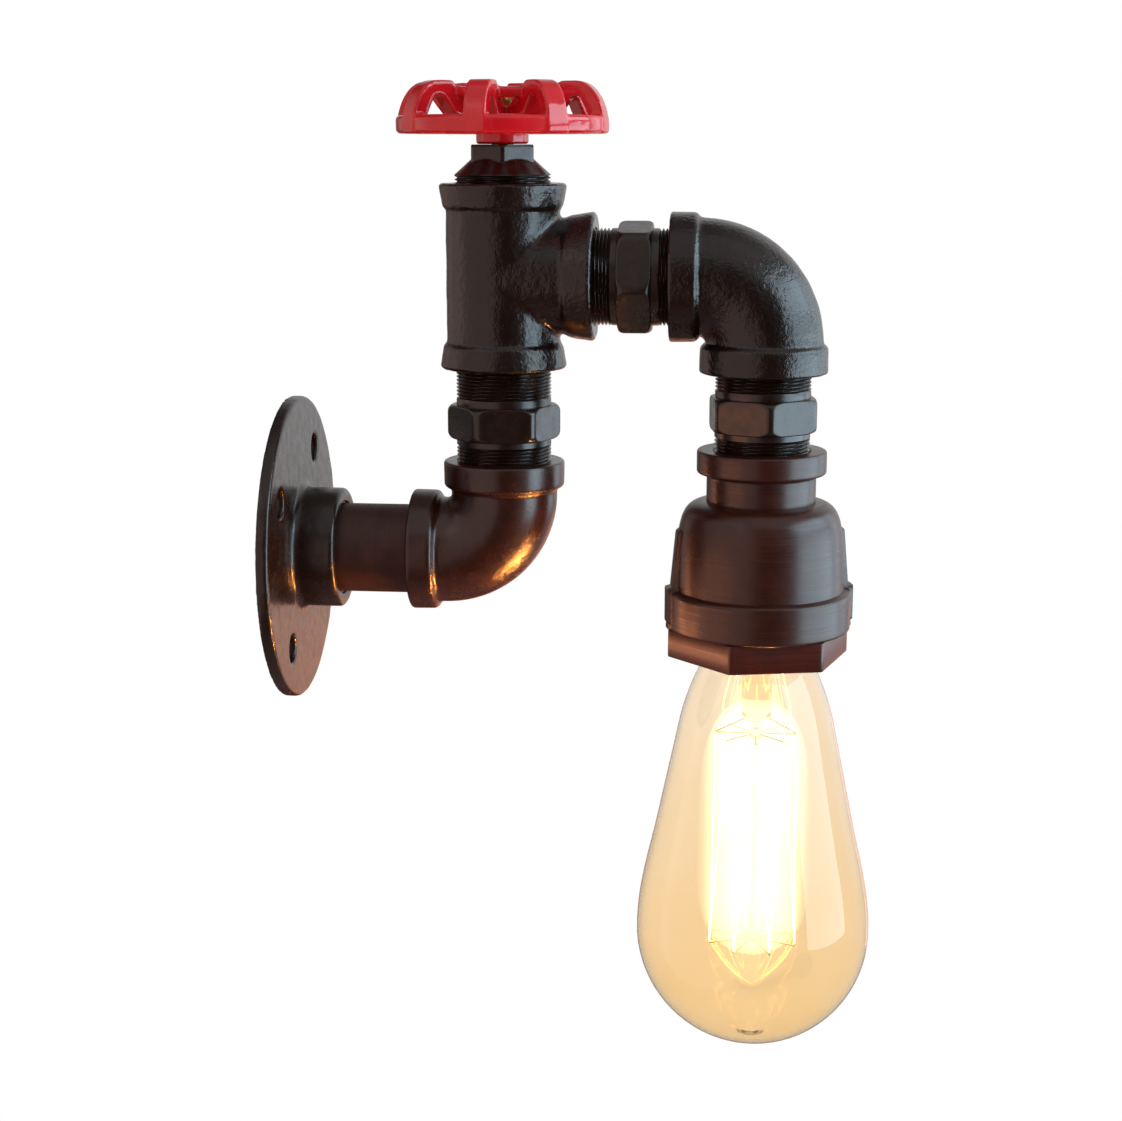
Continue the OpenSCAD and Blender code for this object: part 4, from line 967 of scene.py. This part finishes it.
# Lamps at these shares of the cage's height, counted from its top
for share in (0.3, 0.75, 1.15):
    filament_light("filament_light_%d" % (100 * share), CAGE_TOP + share * (CAGE_END - CAGE_TOP))


# Carried-over nodes keep their shapes and get their finishes
FINISHES = {
    "wall_pipe": PAINT_PIPE,
    "connector_block": NYLON,
    "connector_screws": BRASS,
    "wall_cable": RUBBER,
    "arm_cable": RUBBER,
    "head_cable": RUBBER,
    "dimmer": BAKELITE,
    "dimmer_nut": PLATED,
    "dimmer_leads": RED_PVC,
    "spindle": BRASS,
    "wheel_washer": PLATED,
    "wheel_nut": BRASS,
    "carrier_washer": PLATED,
    "hollow_stud": BRASS,
    "stud_nut": BRASS,
    "holder_strap": PLATED,
    "holder_body": PORCELAIN,
    "screw_shell": SOCKET_BRASS,
    "centre_contact": SOCKET_BRASS,
    "strap_screws": PLATED,
    "holder_terminals": SOCKET_BRASS,
    "cap_insulator": CAP_BLACK,
    "cap_contact": CAP_METAL,
    "bulb_stem": STEM_GLASS,
    "bulb_hooks": WIRE,
    "bulb_leads": WIRE,
}
for node, material in FINISHES.items():
    for slot in frame["nodes"][node].material_slots:
        slot.link = "OBJECT"
        slot.material = material


# Studio
def area_light(name, place, size, radiance, tint, mirrored=True, lighting=True):
    """Soft rectangular lamp turned to the object, mirrored in gloss, lighting plain colour, or both."""
    data = bpy.data.lights.new(name, "AREA")
    data.shape = "RECTANGLE"
    data.size, data.size_y = size
    data.energy = radiance * size[0] * size[1] * math.pi
    data.color = tint
    lamp = bpy.data.objects.new(name, data)
    lamp.location = place
    lamp.rotation_euler = (VIEW_TARGET - Vector(place)).to_track_quat("-Z", "Y").to_euler()
    lamp.visible_camera = False
    lamp.visible_transmission = False
    lamp.visible_glossy = mirrored
    lamp.visible_diffuse = lighting
    bpy.context.scene.collection.objects.link(lamp)
    return lamp


def shine_on(lamp, pieces):
    """Keeps a lamp's light to the given pieces."""
    group = bpy.data.collections.new(lamp.name + "_pieces")
    for piece in pieces:
        group.objects.link(piece)
    lamp.light_linking.receiver_collection = group


def direction_lobe(tree, coords, towards, low, high, most):
    """Strength that rises to most where a ray from the object goes towards a direction."""
    nodes, links = tree.nodes, tree.links
    dot = nodes.new("ShaderNodeVectorMath")
    dot.operation = "DOT_PRODUCT"
    dot.inputs[1].default_value = Vector(towards).normalized()
    links.new(coords, dot.inputs[0])
    spread = nodes.new("ShaderNodeMapRange")
    spread.interpolation_type = "SMOOTHSTEP"
    spread.inputs["From Min"].default_value = low
    spread.inputs["From Max"].default_value = high
    spread.inputs["To Max"].default_value = most
    links.new(dot.outputs["Value"], spread.inputs["Value"])
    return spread.outputs["Result"]


def make_world():
    """White backdrop, in a room that is light on the right and above, and dim and warm on the left."""
    world = bpy.data.worlds.new("studio")
    bpy.context.scene.world = world
    world.use_nodes = True
    tree = world.node_tree
    nodes, links = tree.nodes, tree.links
    rays = nodes.new("ShaderNodeLightPath").outputs
    coords = nodes.new("ShaderNodeTexCoord").outputs["Generated"]
    room = nodes["Background"]
    room.inputs["Color"].default_value = (0.93, 0.97, 1.0, 1)
    right = direction_lobe(tree, coords, (0.95, 0.2, 0.1), 0.1, 0.95, 0.4)
    above = direction_lobe(tree, coords, (0.1, -0.3, 1.0), 0.2, 0.95, 0.12)
    links.new(blend_values(tree, "ADD", right, above), room.inputs["Strength"])
    walls = nodes.new("ShaderNodeBackground")
    walls.inputs["Color"].default_value = (1.0, 0.74, 0.68, 1)
    left = direction_lobe(tree, coords, (-0.81, -0.59, 0.0), 0.6, 0.74, 0.6)
    corner = direction_lobe(tree, coords, (-0.9, 0.4, 0.0), 0.8, 0.99, 0.5)
    links.new(blend_values(tree, "ADD", left, corner, 0.05), walls.inputs["Strength"])
    table = nodes.new("ShaderNodeBackground")
    table.inputs["Color"].default_value = (1.0, 0.4, 0.25, 1)
    links.new(direction_lobe(tree, coords, (0, 0, -1), 0.1, 0.26, 0.08), table.inputs["Strength"])
    below = nodes.new("ShaderNodeAddShader")
    links.new(walls.outputs["Background"], below.inputs[0])
    links.new(table.outputs["Background"], below.inputs[1])
    around = nodes.new("ShaderNodeAddShader")
    links.new(room.outputs["Background"], around.inputs[0])
    links.new(below.outputs["Shader"], around.inputs[1])
    white = nodes.new("ShaderNodeBackground")
    white.inputs["Color"].default_value = (1, 1, 1, 1)
    white.inputs["Strength"].default_value = 1.0
    backdrop = direction_lobe(tree, coords, (0.3, 0.94, 0.12), 0.6, 0.97, 0.7)
    level = direction_lobe(tree, coords, (0, 0, 1), -0.26, -0.14, 1.0)
    mirrored = blend_values(tree, "MULTIPLY", rays["Is Glossy Ray"], backdrop, level)
    shown = blend_values(tree, "MAXIMUM", rays["Is Camera Ray"], rays["Is Transmission Ray"], mirrored)
    mix = nodes.new("ShaderNodeMixShader")
    links.new(shown, mix.inputs["Fac"])
    links.new(around.outputs["Shader"], mix.inputs[1])
    links.new(white.outputs["Background"], mix.inputs[2])
    links.new(mix.outputs["Shader"], nodes["World Output"].inputs["Surface"])


def make_floor():
    """Plain floor far below, white to the eye, that throws back only a little warm light."""
    size, depth = 0.9, -1.3
    corners = [(x * size, y * size, depth) for x, y in ((-1, -1), (1, -1), (1, 1), (-1, 1))]
    mesh = bpy.data.meshes.new("floor")
    mesh.from_pydata(corners, [], [(0, 1, 2, 3)])
    floor = bpy.data.objects.new("floor", mesh)
    bpy.context.scene.collection.objects.link(floor)
    mat = new_material("floor_white", Roughness=0.9)
    mottle = object_grain(mat, 0.4, detail=2.0)
    colour_from(mat, mottle, colour("#6a4c3f"), colour("#745648"))
    nodes, links = mat.node_tree.nodes, mat.node_tree.links
    rays = add_node(mat, "ShaderNodeLightPath").outputs
    mirrored = blend_values(mat.node_tree, "MULTIPLY", rays["Is Glossy Ray"], 0.12)
    shown = blend_values(
        mat.node_tree, "MAXIMUM", rays["Is Camera Ray"], rays["Is Transmission Ray"], mirrored,
    )
    white = add_node(mat, "ShaderNodeEmission")
    white.inputs["Strength"].default_value = 1.0
    mix = add_node(mat, "ShaderNodeMixShader")
    links.new(shown, mix.inputs["Fac"])
    links.new(shader_of(mat).outputs["BSDF"], mix.inputs[1])
    links.new(white.outputs["Emission"], mix.inputs[2])
    links.new(mix.outputs["Shader"], nodes["Material Output"].inputs["Surface"])
    mesh.materials.append(mat)


def make_camera():
    data = bpy.data.cameras.new("camera")
    data.lens = VIEW_LENS
    data.sensor_width = VIEW_SENSOR
    data.clip_start = 0.01
    camera = bpy.data.objects.new("camera", data)
    level = math.cos(VIEW_PITCH)
    back = Vector((
        math.sin(VIEW_AZIMUTH) * level, -math.cos(VIEW_AZIMUTH) * level, math.sin(VIEW_PITCH),
    ))
    camera.location = VIEW_TARGET + back * VIEW_DISTANCE
    camera.rotation_euler = (math.pi / 2 - VIEW_PITCH, 0, VIEW_AZIMUTH)
    bpy.context.scene.collection.objects.link(camera)
    bpy.context.scene.camera = camera


COOL = (0.64, 0.86, 1.0)
WARM = (1.0, 0.33, 0.13)
WHITE = (1.0, 0.97, 0.94)
make_world()
make_floor()
make_camera()
# Lamps by name, place, size, radiance and tint
window_upper = area_light("window_upper", (1.06, -0.1, 0.47), (1.14, 0.54), 4.2, COOL)
window_lower = area_light("window_lower", (1.08, -0.1, -0.13), (1.14, 0.54), 4.2, COOL)
window_glass = area_light("window_glass", (1.07, -0.21, 0.17), (0.9, 1.14), 4.0, COOL)
window_far = area_light("window_far", (0.95, 0.66, 0.1), (0.36, 0.9), 1.6, COOL)
area_light("ceiling", (0.05, -0.5, 1.1), (1.7, 1.3), 0.3, WHITE)
area_light("fill_front", (0.15, -0.9, 0.75), (1.2, 1.0), 0.8, WHITE, False)
area_light("fill_back", (0.1, 1.1, 0.6), (1.2, 1.0), 0.6, WHITE, False)
area_light("warm_table", (0.12, -0.12, -0.5), (0.6, 0.6), 1.0, WARM, mirrored=False)
warm_side = area_light("warm_side", (-1.6, -0.9, -0.36), (2.0, 0.35), 1.6, WARM, lighting=False)
warm_wall = area_light("warm_wall", (-1.9, 0.37, -0.5), (1.3, 0.45), 6.0, WARM, lighting=False)
area_light("warm_back", (0.25, 0.9, -0.36), (0.7, 0.28), 0.9, (1.0, 0.45, 0.28))
# The warm wall shows in the head's paint alone, and the glass mirrors one window in place of three
head = [bpy.data.objects[name] for name in ("bell_casting", "bush_hexagon", "drop_nipple")]
shine_on(warm_side, head)
shine_on(warm_wall, head)
glass = bpy.data.objects["glass_envelope"]
solid = [obj for obj in bpy.context.scene.objects if obj.type == "MESH" and obj != glass]
for window in (window_upper, window_lower, window_far):
    shine_on(window, solid)
shine_on(window_glass, [glass])
bpy.context.scene.view_settings.view_transform = "Standard"
